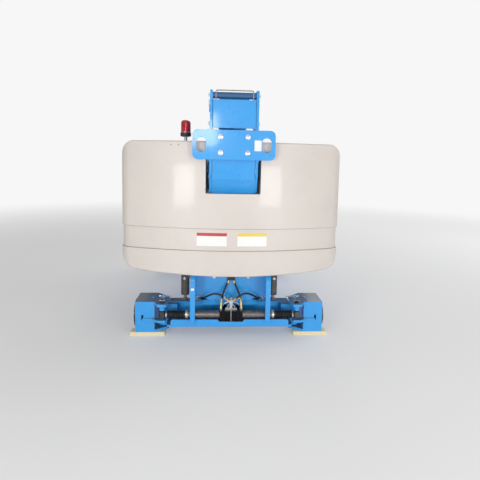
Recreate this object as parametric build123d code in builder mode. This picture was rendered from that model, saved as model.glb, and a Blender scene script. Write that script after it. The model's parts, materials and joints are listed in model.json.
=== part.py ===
# Articulated boom lift, standing on timber planks with its wheels taken off.
# Millimetres. +Z up, -Y is the counterweight end, +Y is the platform end, the
# origin is on the floor under the middle of the machine's outline.
from build123d import *
from math import cos, sin, tan, pi, radians
import os

os.makedirs("parts", exist_ok=True)

# Places along the machine, from the slewing axis
slew_y = -2000.0
steer_axle_y = slew_y - 1010.0
drive_axle_y = slew_y + 1400.0
riser_foot_y = slew_y + 1150.0
riser_head_y = slew_y - 1250.0
boom_pivot_y = slew_y - 1280.0

# Timber under the four knuckles
plank_long = 350.0
plank_wide = 100.0
plank_thick = 40.0
plank_inward = 25.0

# Knuckle boxes and the kingpins that carry them
knuckle_outer_x = 960.0
knuckle_width = 195.0
knuckle_depth = 300.0
knuckle_high = 316.0
knuckle_wall = 20.0
knuckle_corner = 9.0
arm_slot_x = (62.0, 83.0)
arm_slot_z = (122.0, 181.0)
kingpin_x = 690.0
kingpin_r = 25.0
kingpin_proud = 14.0
tongue_thick = 25.0
tongue_r = 60.0
arm_reach = 185.0
arm_x = 685.0
arm_nose_r = 45.0
arm_low = 162.0
arm_thick = 24.0
arm_corner = 4.0
boss_r = 28.0
boss_drop = 47.0
pin_play = 0.1

# Wheel hubs, nine threaded holes each
hub_r = 140.0
hub_thick = 14.0
hub_drum_r = 112.0
hub_cap_r = 62.0
hub_cap_thick = 8.0
hub_gap = 2.0
wheel_bolt_pcd = 225.0
wheel_bolt_count = 9
wheel_bolt_r = 8.5

# Axle beams
axle_low = 124.0
axle_top = 300.0
axle_plate = 20.0
axle_beam_back = 30.0
axle_beam_front = 150.0
axle_half = 640.0
axle_shelf = 225.0
axle_shelf_r = 45.0
axle_neck = (-45.0, 60.0)
axle_neck_in = 95.0
kingpin_boss_r = 55.0
kingpin_boss_gap = 7.0
pivot_lug_half = 80.0
pivot_lug_y = (60.0, 120.0)
pivot_lug_top = 430.0
drive_beam_half = 75.0
drive_tube_half = 60.0
drive_tube_low = 12.0
drive_bowl_r = 135.0
drive_bowl_y = (-90.0, 120.0)
bowl_room = 52.0

# Steering cylinder, double rod, carried behind the web of the axle
steer_y = steer_axle_y - 171.0
steer_z = 235.0
steer_tube_r = 40.0
steer_tube_half = 438.0
steer_rod_r = 16.0
steer_cap = 18.0
steer_cap_over = 4.0
steer_clamp_half = 116.0
steer_clamp_back = 46.0
steer_clamp_over = 8.0
clamp_groove_deep = 16.0
clamp_grooves = [
    # middle from the clamp's middle, width
    (-43.0, 10.0),
    (0.0, 28.0),
    (46.0, 8.0),
]
rod_collar_r = 24.0
rod_collar_long = 17.0
bore_play = 1.0
boot_x = (459.0, 648.0)
boot_r = 42.0
boot_deep = 8.0
boot_folds = 9
ball_r = 31.0

# Steering hoses: two drop from a clamp, two loop over to the side bars
hose_r = 9.0
fitting_x = 10.0
port_apart = 103.0
port_r = 12.0
port_high = 27.0
tee_y = slew_y - 1176.0
tee_z = 372.0
hose_drop_left = [
    (-15, slew_y - 1078, 563),
    (-38, slew_y - 1095, 510),
    (-68, slew_y - 1125, 450),
    (-88, slew_y - 1158, 380),
    (-93, slew_y - 1181, 310),
]
hose_drop_right = [
    (35, slew_y - 1078, 563),
    (58, slew_y - 1096, 508),
    (89, slew_y - 1127, 447),
    (110, slew_y - 1160, 378),
    (113, slew_y - 1181, 310),
]
hose_loop_left = [
    (-12, slew_y - 1176, 372),
    (-62, slew_y - 1184, 410),
    (-124, slew_y - 1180, 428),
    (-188, slew_y - 1162, 418),
    (-244, slew_y - 1130, 392),
    (-292, slew_y - 1090, 370),
    (-326, slew_y - 1040, 356),
]
hose_loop_right = [
    (32, slew_y - 1176, 372),
    (82, slew_y - 1184, 410),
    (144, slew_y - 1181, 430),
    (206, slew_y - 1163, 420),
    (258, slew_y - 1131, 392),
    (300, slew_y - 1090, 368),
    (330, slew_y - 1040, 354),
]

# Chassis
frame_outer_x = 400.0
frame_bar = 48.0
frame_top = 680.0
frame_low = 130.0
saddle_top = 345.0
leg_back = slew_y - 1275.0
leg_thick = 30.0
leg_low = 176.0
leg_end_r = 22.0
frame_corner_r = 12.0
frame_back_r = 95.0
frame_front = slew_y + 1510.0
frame_step = 110.0
saddle_gap = 40.0
web_thick = 12.0
deck_thick = 20.0
front_panel_in = 30.0
panel_y = slew_y - 1061.0
panel_thick = 12.0
flap_low = 306.0
flap_back = (34.0, 22.0)
lockout_x = 475.0
lockout_y = slew_y - 900.0
lockout_r = 44.0
lockout_rod_r = 15.0
lockout_cone_r = 27.0
lockout_cone_high = 26.0
lockout_low = 355.0
lockout_top = 600.0
lockout_shoe = (35.0, 60.0, 10.0)

# Slewing ring and turntable
ring_r = 470.0
ring_bore_r = 380.0
ring_low = frame_top
ring_top = 733.0
bed_low = 735.0
bed_thick = 30.0
bed_half = 1050.0
bed_back = slew_y - 700.0
bed_front = slew_y + 1150.0
turret_inner = 200.0
turret_plate = 25.0
turret_corner_r = 30.0
tongue_half = 260.0
tongue_front = slew_y + 1250.0
pin_proud = 10.0
foot_lug_x = (53.0, 80.0)

# Counterweight
weight_half = 1085.0
weight_low = 690.0
weight_top = 1970.0
weight_back = slew_y - 1430.0
weight_front = slew_y - 700.0
weight_bow = 215.0
weight_top_r = 140.0
weight_low_r = 175.0
weight_corner_r = 150.0
weight_belly = 46.0
band_low = 938.0
band_top = 1153.0
band_deep = 10.0
band_stop = 60.0
notch_half = 257.0
notch_low = 1484.0

# Riser, its levelling bars and the upright that they carry
riser_z = 1640.0
riser_half_x = 150.0
riser_half_z = 95.0
riser_wall = 12.0
riser_solid = 160.0
riser_pin_r = 40.0
level_dy = 120.0
level_dz = 90.0
level_x = (160.0, 185.0)
level_half_z = 38.0
level_pin_r = 25.0
level_side = 3.0
level_eye_over = 6.0
boom_pivot_z = 2290.0
boom_pin_r = 40.0
upright_over = 145.0
upright_top = boom_pivot_z + upright_over
upright_back = slew_y - 1445.0
upright_inner = 200.0
upright_plate = 25.0
upright_corner_r = 25.0
upright_skin = 12.0
upright_front = [
    # ahead of the riser's head pin, above it
    (100.0, -121.0),
    (210.0, 20.0),
    (240.0, 210.0),
]
upright_neck = (130.0, -40.0)
upright_nape = 90.0
cover_under_top = 90.0
cover_gap = 18.0
back_top = 2030.0
back_fold = -20.0
back_foot = (-110.0, -154.0)
cross_tube_r = 30.0
cross_tube_back = 120.0
cross_tube_up = 98.0
top_rod_r = 5.0
top_rod_bend = 16.0
top_rod_x = 172.0
top_rod_back = 14.0
top_rod_under = 5.0
top_ear = 9.0

# Tie plate bolted to the back of the upright
tie_width = 758.0
tie_height = 271.0
tie_low = 1800.0
tie_thick = 20.0
tie_back = slew_y - 1480.0
tie_corner_r = 50.0
tie_slot = (90.0, 135.0)
tie_slot_x = 300.0
tie_pad_in = 30.0
tie_bolt_x = 125.0
tie_bolt_in = 63.0
tie_washer = (24.0, 4.0)
tie_head = (20.5, 12.0)

# Main boom and its fly
boom_tilt = -8.0
boom_half = 140.0
boom_wall = 10.0
boom_start = 250.0
boom_solid = 150.0
boom_length = 4700.0
boom_tail_r = 95.0
boom_lug_x = (70.0, 92.0)
fly_gap = 8.0
fly_half = boom_half - boom_wall - fly_gap
fly_wall = 8.0
fly_start = 900.0
fly_end = 5100.0
fly_cap = 330.0
fly_cap_thick = 30.0
nose_long = 300.0
nose_half = 60.0
nose_corner_r = 20.0

# Lift cylinders, foot pin and rod eye at rest
riser_foot_pin = (slew_y + 1040.0, 960.0)
riser_eye_pin = (slew_y + 500.0, riser_z - riser_half_z - 70.0)
riser_cyl_r = 70.0
riser_cyl_rod_r = 38.0
riser_eye_half = 50.0
riser_eye_r = 44.0
riser_lug_x = (80.0, 105.0)
main_foot_pin = (slew_y - 1370.0, 1800.0)
main_eye_along = 550.0
main_eye_under = boom_half + 100.0
main_cyl_r = 52.0
main_cyl_rod_r = 30.0
main_eye_half = 45.0
main_eye_r = 42.0
cyl_pin_r = 25.0
foot_eye_r = 45.0
barrel_short = 95.0
barrel_end_cap = 20.0
rod_in_cap = 10.0
rod_play = 1.0

# Platform
level_pin = (slew_y + 4250.0, 760.0)
rotator_y = slew_y + 4460.0
rotator_z = (560.0, 820.0)
platform_back = slew_y + 4690.0
platform_deep = 776.0
platform_half = 915.0
platform_floor = 250.0
platform_high = 1100.0
platform_tray = 40.0
rail_r = 20.0
post_r = 16.0
gate_post_r = 23.0
mid_rail = 520.0
kick_high = 150.0
kick_thick = 4.0
kick_gap = 1.0
rail_bend = 90.0
gate_tube_r = 16.0
gate_bar_r = 13.0
gate_gap = 6.0
gate_low = 30.0
gate_foot_bar = 60.0
gate_y = (platform_back + 150.0, platform_back + platform_deep - 140.0)
bracket_half = 110.0
bracket_thick = 28.0
bracket_deep = 40.0
rotator_r = 75.0
rotator_plate_r = 80.0
cheek_x = (66.0, 86.0)
control_in = 120.0
control_wide = 440.0

# Hoods over the engine and the tanks
hood_x = (285.0, 1068.0)
hood_y = (slew_y - 668.0, slew_y + 1130.0)
hood_low = 790.0
hood_top = 1870.0
hood_wall = 22.0
hood_r = 110.0
hood_end_r = 60.0
hood_inner_step = 5.0
hinge_x = 266.0
hinge_z = hood_top + 10.0
hinge_pin_r = 8.0
hinge_tube_r = 13.0
hinge_tube_half = 27.0
hinge_lug = (30.0, 40.0)
hinge_at = (hood_y[0] + 260.0, (hood_y[0] + hood_y[1]) / 2, hood_y[1] - 260.0)
leaf_reach = 335.0
rail_beam_x = (236.0, 256.0)
rail_beam_z = (1790.0, 1856.0)
hinge_post = 40.0

# Engine and tanks under the hoods
engine_x = (bed_half - 720.0, bed_half - 130.0)
engine_y = (slew_y - 450.0, slew_y + 500.0)
engine_top = 1450.0
tank_y = ((slew_y - 500.0, slew_y + 60.0), (slew_y + 140.0, slew_y + 740.0))
tank_top = (1350.0, 1300.0)

# Beacon on a short pole
beacon_x = -479.0
beacon_y = slew_y - 940.0
beacon_pole = (15.0, 67.0)
beacon_base = (54.0, 38.0)
beacon_lens = (49.0, 126.0)
beacon_crown_r = 30.0


# A plane that looks along +X, with y and z as its axes
def side_plane(x):
    return Plane(origin=(x, 0, 0), x_dir=(0, 1, 0), z_dir=(1, 0, 0))


# A plane that looks along -Y, with x and z as its axes
def rear_plane(y):
    return Plane(origin=(0, y, 0), x_dir=(1, 0, 0), z_dir=(0, -1, 0))


# A closed outline on a plane, with every corner rounded by one radius
def outline(plane, points, corner=0):
    with BuildSketch(plane) as shape:
        with BuildLine():
            if corner:
                FilletPolyline(*points, radius=corner, close=True)
            else:
                Polyline(*points, close=True)
        make_face()
    return shape.sketch


# A box from low and high limits
def block(x, y, z, mode=Mode.ADD):
    middle = ((x[0] + x[1]) / 2, (y[0] + y[1]) / 2, (z[0] + z[1]) / 2)
    with Locations(middle):
        Box(x[1] - x[0], y[1] - y[0], z[1] - z[0], mode=mode)


# A round bar along X between two limits
def bar_x(y, z, r, x, mode=Mode.ADD):
    with BuildSketch(side_plane(x[0])) as shape:
        with Locations((y, z)):
            Circle(r)
    extrude(shape.sketch, amount=x[1] - x[0], mode=mode)


# A round bar along Z between two limits
def bar_z(x, y, r, z, mode=Mode.ADD):
    with BuildSketch(Plane.XY.offset(z[0])) as shape:
        with Locations((x, y)):
            Circle(r)
    extrude(shape.sketch, amount=z[1] - z[0], mode=mode)


# A round bar along Y between two limits
def bar_y(x, z, r, y, mode=Mode.ADD):
    with BuildSketch(rear_plane(y[1])) as shape:
        with Locations((x, z)):
            Circle(r)
    extrude(shape.sketch, amount=y[1] - y[0], mode=mode)


# A plate lying across X, given by its outline in y and z
def side_slab(points, x, corner=0, mode=Mode.ADD):
    extrude(outline(side_plane(x[0]), points, corner), amount=x[1] - x[0], mode=mode)


# A plate lying flat, given by its outline in x and y
def flat_slab(points, z, corner=0, mode=Mode.ADD):
    extrude(outline(Plane.XY.offset(z[0]), points, corner), amount=z[1] - z[0], mode=mode)


# A round tube along a bent line, the bends of one radius
def tube_along(points, r, bend):
    with BuildLine() as path:
        FilletPolyline(*points, radius=bend)
    start = path.line @ 0
    with BuildSketch(Plane(origin=start, z_dir=path.line % 0)) as section:
        Circle(r)
    sweep(section.sketch, path=path.line)


# Both signs, for what the machine has on its left and on its right
def both(low, high):
    return [(-high, -low), (low, high)]


# Names, colours and files of the finished pieces
def finish(piece, name):
    piece.part.label = name
    export_step(piece.part, f"parts/{name}.step")


# A point on the main boom at rest: along it from its pivot, and above its axis
boom_dir = (cos(radians(boom_tilt)), sin(radians(boom_tilt)))


def on_boom(along, above):
    y = boom_pivot_y + along * boom_dir[0] - above * boom_dir[1]
    z = boom_pivot_z + along * boom_dir[1] + above * boom_dir[0]
    return (y, z)


# Timber planks, one under each knuckle
knuckle_mid_x = knuckle_outer_x - knuckle_width / 2
plank_x = knuckle_mid_x - plank_inward
rear_plank_y = steer_axle_y - knuckle_depth / 2 + plank_wide / 2
front_plank_y = drive_axle_y + knuckle_depth / 2 - plank_wide / 2
with BuildPart() as timber_planks:
    for x in (-plank_x, plank_x):
        for y in (rear_plank_y, front_plank_y):
            with Locations((x, y, plank_thick / 2)):
                Box(plank_long, plank_wide, plank_thick)
finish(timber_planks, "timber_planks")

# Chassis: two side bars that straddle the steering axle, with panels between
knuckle_top = plank_thick + knuckle_high
frame_inner_x = frame_outer_x - frame_bar
saddle_front = steer_axle_y + axle_beam_front + saddle_gap
step_y = drive_axle_y - frame_step
frame_profile = [
    (leg_back, saddle_top),
    (saddle_front, saddle_top),
    (saddle_front, frame_low),
    (step_y, frame_low),
    (step_y, axle_top),
    (frame_front, axle_top),
    (frame_front, frame_top),
    (leg_back, frame_top),
]
frame_corners = [frame_corner_r] * (len(frame_profile) - 1) + [frame_back_r]
leg_root = saddle_top + 2 * leg_end_r
flap = [
    (panel_y + panel_thick, saddle_top),
    (panel_y, saddle_top),
    (panel_y - flap_back[0], flap_low),
    (panel_y - flap_back[1], flap_low),
]
flap_opening = [(345, 386), (345, 334), (215, 352)]
panel_front = frame_front - front_panel_in
with BuildPart() as chassis_frame:
    for x in both(frame_inner_x, frame_outer_x):
        side_slab(frame_profile, x, corner=frame_corners)
        leg = [(x[0], leg_low), (x[1], leg_low), (x[1], leg_root), (x[0], leg_root)]
        extrude(outline(rear_plane(leg_back + leg_thick), leg, leg_end_r), amount=leg_thick)
    inside = (-frame_inner_x, frame_inner_x)
    block(inside, (panel_y, panel_y + panel_thick), (saddle_top, frame_top))
    block(inside, (saddle_front, panel_front), (frame_top - deck_thick, frame_top))
    block(inside, (panel_y, saddle_front), (frame_top - deck_thick, frame_top))
    block(inside, (saddle_front, step_y), (frame_low, frame_low + web_thick))
    block(inside, (panel_front, panel_front + web_thick), (axle_top + bowl_room, frame_top))
    block(inside, (saddle_front - web_thick / 2, saddle_front + web_thick / 2), (frame_low, frame_top))
    side_slab(flap, inside)
    for side in (-1, 1):
        opening = [(side * x, z) for x, z in flap_opening]
        extrude(outline(rear_plane(panel_y + 40), opening), amount=120, mode=Mode.SUBTRACT)
finish(chassis_frame, "chassis_frame")

# Steering axle: a box beam, a shelf under the cylinder and two kingpin bosses
beam_y = (steer_axle_y + axle_beam_back, steer_axle_y + axle_beam_front)
shelf = [
    (-axle_half, steer_axle_y - axle_shelf),
    (axle_half, steer_axle_y - axle_shelf),
    (axle_half, beam_y[1]),
    (-axle_half, beam_y[1]),
]
boss_z = (plank_thick + tongue_thick + kingpin_boss_gap, knuckle_top - tongue_thick - kingpin_boss_gap)
with BuildPart() as steer_axle:
    flat_slab(shelf, (axle_low, axle_low + axle_plate), corner=axle_shelf_r)
    block((-axle_half, axle_half), beam_y, (axle_low, axle_top))
    for x in (-kingpin_x, kingpin_x):
        bar_z(x, steer_axle_y, kingpin_boss_r, boss_z)
        neck = sorted((x, x - axle_neck_in * x / kingpin_x - (kingpin_x - axle_half) * x / kingpin_x))
        neck_y = (steer_axle_y + axle_neck[0], steer_axle_y + axle_neck[1])
        block(neck, neck_y, (axle_low, axle_top - 6))
        bar_z(x, steer_axle_y, kingpin_r, (plank_thick + 2, knuckle_top + kingpin_proud))
    lug_y = (steer_axle_y + pivot_lug_y[0], steer_axle_y + pivot_lug_y[1])
    block((-pivot_lug_half, pivot_lug_half), lug_y, (axle_top, pivot_lug_top))
finish(steer_axle, "steer_axle")

# Driving axle: a beam with a bowl for its gears, its end boxes welded on
box_in = knuckle_outer_x - knuckle_width
tube_low = axle_low + drive_tube_low
tube_top = axle_top - drive_tube_low
with BuildPart() as drive_axle:
    beam = (drive_axle_y - drive_beam_half, drive_axle_y + drive_beam_half)
    block((-frame_outer_x, frame_outer_x), beam, (axle_low, axle_top))
    tube = (drive_axle_y - drive_tube_half, drive_axle_y + drive_tube_half)
    block((-box_in - knuckle_wall / 2, box_in + knuckle_wall / 2), tube, (tube_low, tube_top))
    bowl = (drive_axle_y + drive_bowl_y[0], drive_axle_y + drive_bowl_y[1])
    bar_y(0, (axle_low + axle_top) / 2, drive_bowl_r, bowl)
    for x in both(box_in, knuckle_outer_x):
        half = knuckle_depth / 2
        block(x, (drive_axle_y - half, drive_axle_y + half), (plank_thick, knuckle_top))
    for x in both(box_in + knuckle_wall, knuckle_outer_x + 1):
        half = knuckle_depth / 2 - knuckle_wall
        z = (plank_thick + tongue_thick, knuckle_top - tongue_thick)
        block(x, (drive_axle_y - half, drive_axle_y + half), z, mode=Mode.SUBTRACT)
finish(drive_axle, "drive_axle")

# Left knuckle: a box for the hub, two tongues to the kingpin, a steering arm
box_x = (-knuckle_outer_x, -knuckle_outer_x + knuckle_width)
box_y = (steer_axle_y - knuckle_depth / 2, steer_axle_y + knuckle_depth / 2)
pin_y = steer_axle_y - arm_reach
tongue = [
    (box_x[1] - 40, box_y[0]),
    (box_x[1], box_y[0]),
    (-arm_x - arm_nose_r, pin_y - arm_nose_r),
    (-arm_x + arm_nose_r, pin_y - arm_nose_r),
    (-kingpin_x + tongue_r, steer_axle_y - 70),
    (-kingpin_x + tongue_r, steer_axle_y + 30),
    (box_x[1], box_y[1]),
    (box_x[1] - 40, box_y[1]),
]
foot_tongue = [
    (box_x[1] - 40, box_y[0]),
    (box_x[1], box_y[0]),
    (-kingpin_x + tongue_r, steer_axle_y - 50),
    (-kingpin_x + tongue_r, steer_axle_y + 50),
    (box_x[1], box_y[1]),
    (box_x[1] - 40, box_y[1]),
]
lower_arm = [
    (box_x[0] + arm_slot_x[0] + 8, box_y[0] + 20),
    (box_x[0] + arm_slot_x[0] + 8, box_y[0] - 8),
    (box_x[1] - 30, box_y[0] - 14),
    (-arm_x - 40, pin_y - 32),
    (-arm_x + 36, pin_y - 32),
    (-arm_x + 36, pin_y + 36),
    (box_x[1] - 10, box_y[0] + 20),
]
boss_top = knuckle_top - tongue_thick
arm_slot = (box_x[0] + arm_slot_x[0], box_x[0] + arm_slot_x[1])
with BuildPart() as knuckle_left:
    block(box_x, box_y, (plank_thick, knuckle_top))
    flat_slab(tongue, (boss_top, knuckle_top), corner=knuckle_corner)
    flat_slab(foot_tongue, (plank_thick, plank_thick + tongue_thick), corner=knuckle_corner)
    slot_z = (plank_thick + arm_slot_z[0], plank_thick + arm_slot_z[1])
    block(arm_slot, (box_y[0] - 1, box_y[0] + knuckle_wall), slot_z, mode=Mode.SUBTRACT)
    flat_slab(lower_arm, (arm_low, arm_low + arm_thick), corner=arm_corner)
    bar_z(-arm_x, pin_y, boss_r, (boss_top - boss_drop, boss_top))
    block(
        (box_x[0] - 1, box_x[1] - knuckle_wall),
        (box_y[0] + knuckle_wall, box_y[1] - knuckle_wall),
        (plank_thick + tongue_thick, knuckle_top - tongue_thick),
        mode=Mode.SUBTRACT,
    )
    bar_z(-kingpin_x, steer_axle_y, kingpin_r + pin_play, (0, 500), mode=Mode.SUBTRACT)
finish(knuckle_left, "knuckle_left")

with BuildPart() as knuckle_right:
    mirror(knuckle_left.part, about=Plane.YZ)
finish(knuckle_right, "knuckle_right")

# Wheel hubs, turning in the open sides of the four boxes
hub_z = plank_thick + knuckle_high / 2
hub_table = [
    # name, side, y
    ("hub_rear_left", -1, steer_axle_y),
    ("hub_rear_right", 1, steer_axle_y),
    ("hub_front_left", -1, drive_axle_y),
    ("hub_front_right", 1, drive_axle_y),
]
for name, side, y in hub_table:
    inner = side * (knuckle_outer_x + hub_gap)
    face = side * (knuckle_outer_x + hub_gap + hub_thick)
    back = side * (knuckle_outer_x - knuckle_width + knuckle_wall + hub_gap / 2)
    with BuildPart() as hub:
        bar_x(y, hub_z, hub_r, sorted((inner, face)))
        bar_x(y, hub_z, hub_drum_r, sorted((back, inner)))
        bar_x(y, hub_z, hub_cap_r, sorted((face, face + side * hub_cap_thick)))
        with BuildSketch(side_plane(min(inner, face))) as bolts:
            with Locations((y, hub_z)):
                with PolarLocations(wheel_bolt_pcd / 2, wheel_bolt_count):
                    Circle(wheel_bolt_r)
        extrude(bolts.sketch, amount=hub_thick, mode=Mode.SUBTRACT)
    finish(hub, name)

# Steering cylinder: two tubes in a middle clamp, a cap at each end
clamp_z = (axle_low + axle_plate, steer_z + steer_tube_r + steer_clamp_over)
clamp_back = steer_y - steer_clamp_back
bore_r = steer_rod_r + bore_play
bore_x = (-knuckle_outer_x, knuckle_outer_x)
with BuildPart() as steer_cylinder:
    bar_x(steer_y, steer_z, steer_tube_r, (-steer_tube_half, steer_tube_half))
    cap_in = steer_tube_half + steer_cap_over - steer_cap
    for x in both(cap_in, cap_in + steer_cap + steer_cap_over * 2):
        bar_x(steer_y, steer_z, steer_tube_r + steer_cap_over, x)
    clamp_x = (fitting_x - steer_clamp_half, fitting_x + steer_clamp_half)
    block(clamp_x, (clamp_back, beam_y[0]), clamp_z)
    for middle, width in clamp_grooves:
        groove = (fitting_x + middle - width / 2, fitting_x + middle + width / 2)
        deep = (clamp_back - 1, clamp_back + clamp_groove_deep)
        block(groove, deep, (clamp_z[0] - 1, clamp_z[1] + 1), mode=Mode.SUBTRACT)
    bar_x(steer_y, steer_z, bore_r, bore_x, mode=Mode.SUBTRACT)
finish(steer_cylinder, "steer_cylinder")

# Steering rod, right through the cylinder, with a ball end over each lower arm
collar_x = arm_x - 5.0
with BuildPart() as steer_rod:
    bar_x(steer_y, steer_z, steer_rod_r, (-arm_x, arm_x))
    for x in both(collar_x - rod_collar_long, collar_x):
        bar_x(steer_y, steer_z, rod_collar_r, x)
    for x in (-arm_x, arm_x):
        bar_z(x, steer_y, ball_r, (steer_z - ball_r, steer_z + ball_r))
finish(steer_rod, "steer_rod")

# Rubber boots between the caps and the rod's ends, in folds
for name, side in (("boot_left", -1), ("boot_right", 1)):
    fold = (boot_x[1] - boot_x[0]) / boot_folds
    with BuildPart() as boot:
        bar_x(steer_y, steer_z, boot_r - boot_deep, sorted((side * boot_x[0], side * boot_x[1])))
        for i in range(boot_folds):
            crest = boot_x[0] + (i + 0.5) * fold
            ends = sorted((side * (crest - fold / 4), side * (crest + fold / 4)))
            bar_x(steer_y, steer_z, boot_r, ends)
        bar_x(steer_y, steer_z, bore_r, bore_x, mode=Mode.SUBTRACT)
    finish(boot, name)

# Axle lock-out cylinders, outside the chassis bars, their rods on the axle
shoe_half, shoe_under, shoe_drop = lockout_shoe
with BuildPart() as lockout_cylinders:
    for side in (-1, 1):
        bar_z(side * lockout_x, lockout_y, lockout_rod_r, (axle_top, lockout_low + 5))
        with BuildSketch(Plane.XY.offset(axle_top)) as foot:
            with Locations((side * lockout_x, lockout_y)):
                Circle(lockout_cone_r)
        extrude(foot.sketch, amount=lockout_cone_high, taper=20)
        bar_z(side * lockout_x, lockout_y, lockout_r, (lockout_low, lockout_top))
        arm = sorted((side * frame_outer_x, side * lockout_x))
        arm_y = (lockout_y - shoe_half, lockout_y + shoe_half)
        block(arm, arm_y, (lockout_top - shoe_under, lockout_top - shoe_drop))
finish(lockout_cylinders, "lockout_cylinders")

# Slewing ring on the chassis
with BuildPart() as slew_ring:
    bar_z(0, slew_y, ring_r, (ring_low, ring_top))
    bar_z(0, slew_y, ring_bore_r, (ring_low, ring_top), mode=Mode.SUBTRACT)
finish(slew_ring, "slew_ring")

# Turntable: bedplate and two turret plates that carry the riser's foot
bed_top = bed_low + bed_thick
turret_profile = [
    (bed_back, bed_top),
    (bed_back, 1250),
    (slew_y + 300, 1400),
    (slew_y + 1000, 1740),
    (slew_y + 1230, 1830),
    (slew_y + 1400, 1800),
    (slew_y + 1400, 1450),
    (slew_y + 1250, bed_top),
]
level_foot = (riser_foot_y + level_dy, riser_z + level_dz)
foot_lug = [
    (riser_foot_pin[0] - 70, bed_top),
    (riser_foot_pin[0] - 50, riser_foot_pin[1] + 50),
    (riser_foot_pin[0] + 50, riser_foot_pin[1] + 50),
    (riser_foot_pin[0] + 70, bed_top),
]
turret_out = turret_inner + turret_plate
with BuildPart() as turntable_frame:
    block((-bed_half, bed_half), (bed_back, bed_front), (bed_low, bed_top))
    block((-tongue_half, tongue_half), (bed_front, tongue_front), (bed_low, bed_top))
    for x in both(turret_inner, turret_out):
        side_slab(turret_profile, x, corner=turret_corner_r)
    bar_x(riser_foot_y, riser_z, riser_pin_r, (-turret_out - pin_proud, turret_out + pin_proud))
    for x in both(level_x[0] - level_side, turret_out + pin_proud):
        bar_x(level_foot[0], level_foot[1], level_pin_r, x)
    for x in both(*foot_lug_x):
        side_slab(foot_lug, x)
    bar_x(riser_foot_pin[0], riser_foot_pin[1], cyl_pin_r, (-foot_lug_x[1], foot_lug_x[1]))
    for x in both(*rail_beam_x):
        block(x, hood_y, rail_beam_z)
        for y in ((hood_y[0], hood_y[0] + hinge_post), (hood_y[1] - hinge_post, hood_y[1])):
            block(x, y, (bed_top, rail_beam_z[0]))
    for side in (-1, 1):
        for y in hinge_at:
            bar_y(side * hinge_x, hinge_z, hinge_pin_r, (y - hinge_lug[1], y + hinge_lug[1]))
            for step in both(*hinge_lug):
                lug_x = sorted((side * rail_beam_x[0], side * (hinge_x + hinge_tube_r - 1)))
                block(lug_x, (y + step[0], y + step[1]), (rail_beam_z[1] - 4, hinge_z + hinge_tube_r))
finish(turntable_frame, "turntable_frame")

# Engine and tanks, closed under the hoods
with BuildPart() as engine_block:
    block((-engine_x[1], -engine_x[0]), engine_y, (bed_top, engine_top))
finish(engine_block, "engine_block")

with BuildPart() as fluid_tanks:
    for y, top in zip(tank_y, tank_top):
        block(engine_x, y, (bed_top, top))
finish(fluid_tanks, "fluid_tanks")

# Counterweight: rounded from behind, notched, its bowed plan drawn in by a depth for the band
def weight_plan(inset):
    half = weight_half - inset
    back = weight_back + inset
    shoulder = weight_back + weight_bow + inset
    with BuildSketch(Plane.XY.offset(weight_low)) as plan:
        with BuildLine():
            ThreePointArc((-half, shoulder), (0, back), (half, shoulder))
            Line((half, shoulder), (half, weight_front))
            Line((half, weight_front), (-half, weight_front))
            Line((-half, weight_front), (-half, shoulder))
        make_face()
        corners = plan.vertices().group_by(Axis.Y)[0]
        fillet(corners, weight_corner_r - inset)
    return plan.sketch


with BuildPart() as counterweight:
    extrude(weight_plan(0), amount=weight_top - weight_low)
    with BuildPart(mode=Mode.PRIVATE) as rear_view:
        with BuildSketch(rear_plane(weight_front + 1)) as face:
            with BuildLine():
                ThreePointArc(
                    (-weight_half, weight_low + weight_belly),
                    (0, weight_low),
                    (weight_half, weight_low + weight_belly),
                )
                Line((weight_half, weight_low + weight_belly), (weight_half, weight_top))
                Line((weight_half, weight_top), (-weight_half, weight_top))
                Line((-weight_half, weight_top), (-weight_half, weight_low + weight_belly))
            make_face()
            fillet(face.vertices().group_by(Axis.Y)[-1], weight_top_r)
            lower = [v for v in face.vertices() if v.Y < weight_low + weight_belly + 1]
            fillet(lower, weight_low_r)
        extrude(face.sketch, amount=weight_front - weight_back + 2)
    add(rear_view.part, mode=Mode.INTERSECT)
    with BuildPart(mode=Mode.PRIVATE) as band:
        all_x = (-weight_half - 5, weight_half + 5)
        block(all_x, (weight_back - 5, weight_front - band_stop), (band_low, band_top))
        extrude(weight_plan(band_deep), amount=weight_top - weight_low, mode=Mode.SUBTRACT)
    add(band.part, mode=Mode.SUBTRACT)
    through_y = (weight_back - 5, weight_front + 5)
    block((-notch_half, notch_half), through_y, (notch_low, weight_top + 5), mode=Mode.SUBTRACT)
finish(counterweight, "counterweight")

# Beacon on top of the counterweight: pole, black base, domed lens
base_low = weight_top + beacon_pole[1]
lens_low = base_low + beacon_base[1]
with BuildPart() as beacon:
    bar_z(beacon_x, beacon_y, beacon_base[0], (base_low, lens_low))
    bar_z(beacon_x, beacon_y, beacon_lens[0], (lens_low, lens_low + beacon_lens[1]))
    fillet(beacon.edges().group_by(Axis.Z)[-1], beacon_crown_r)
    bar_z(beacon_x, beacon_y, beacon_pole[0], (weight_top, base_low))
finish(beacon, "beacon")

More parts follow.
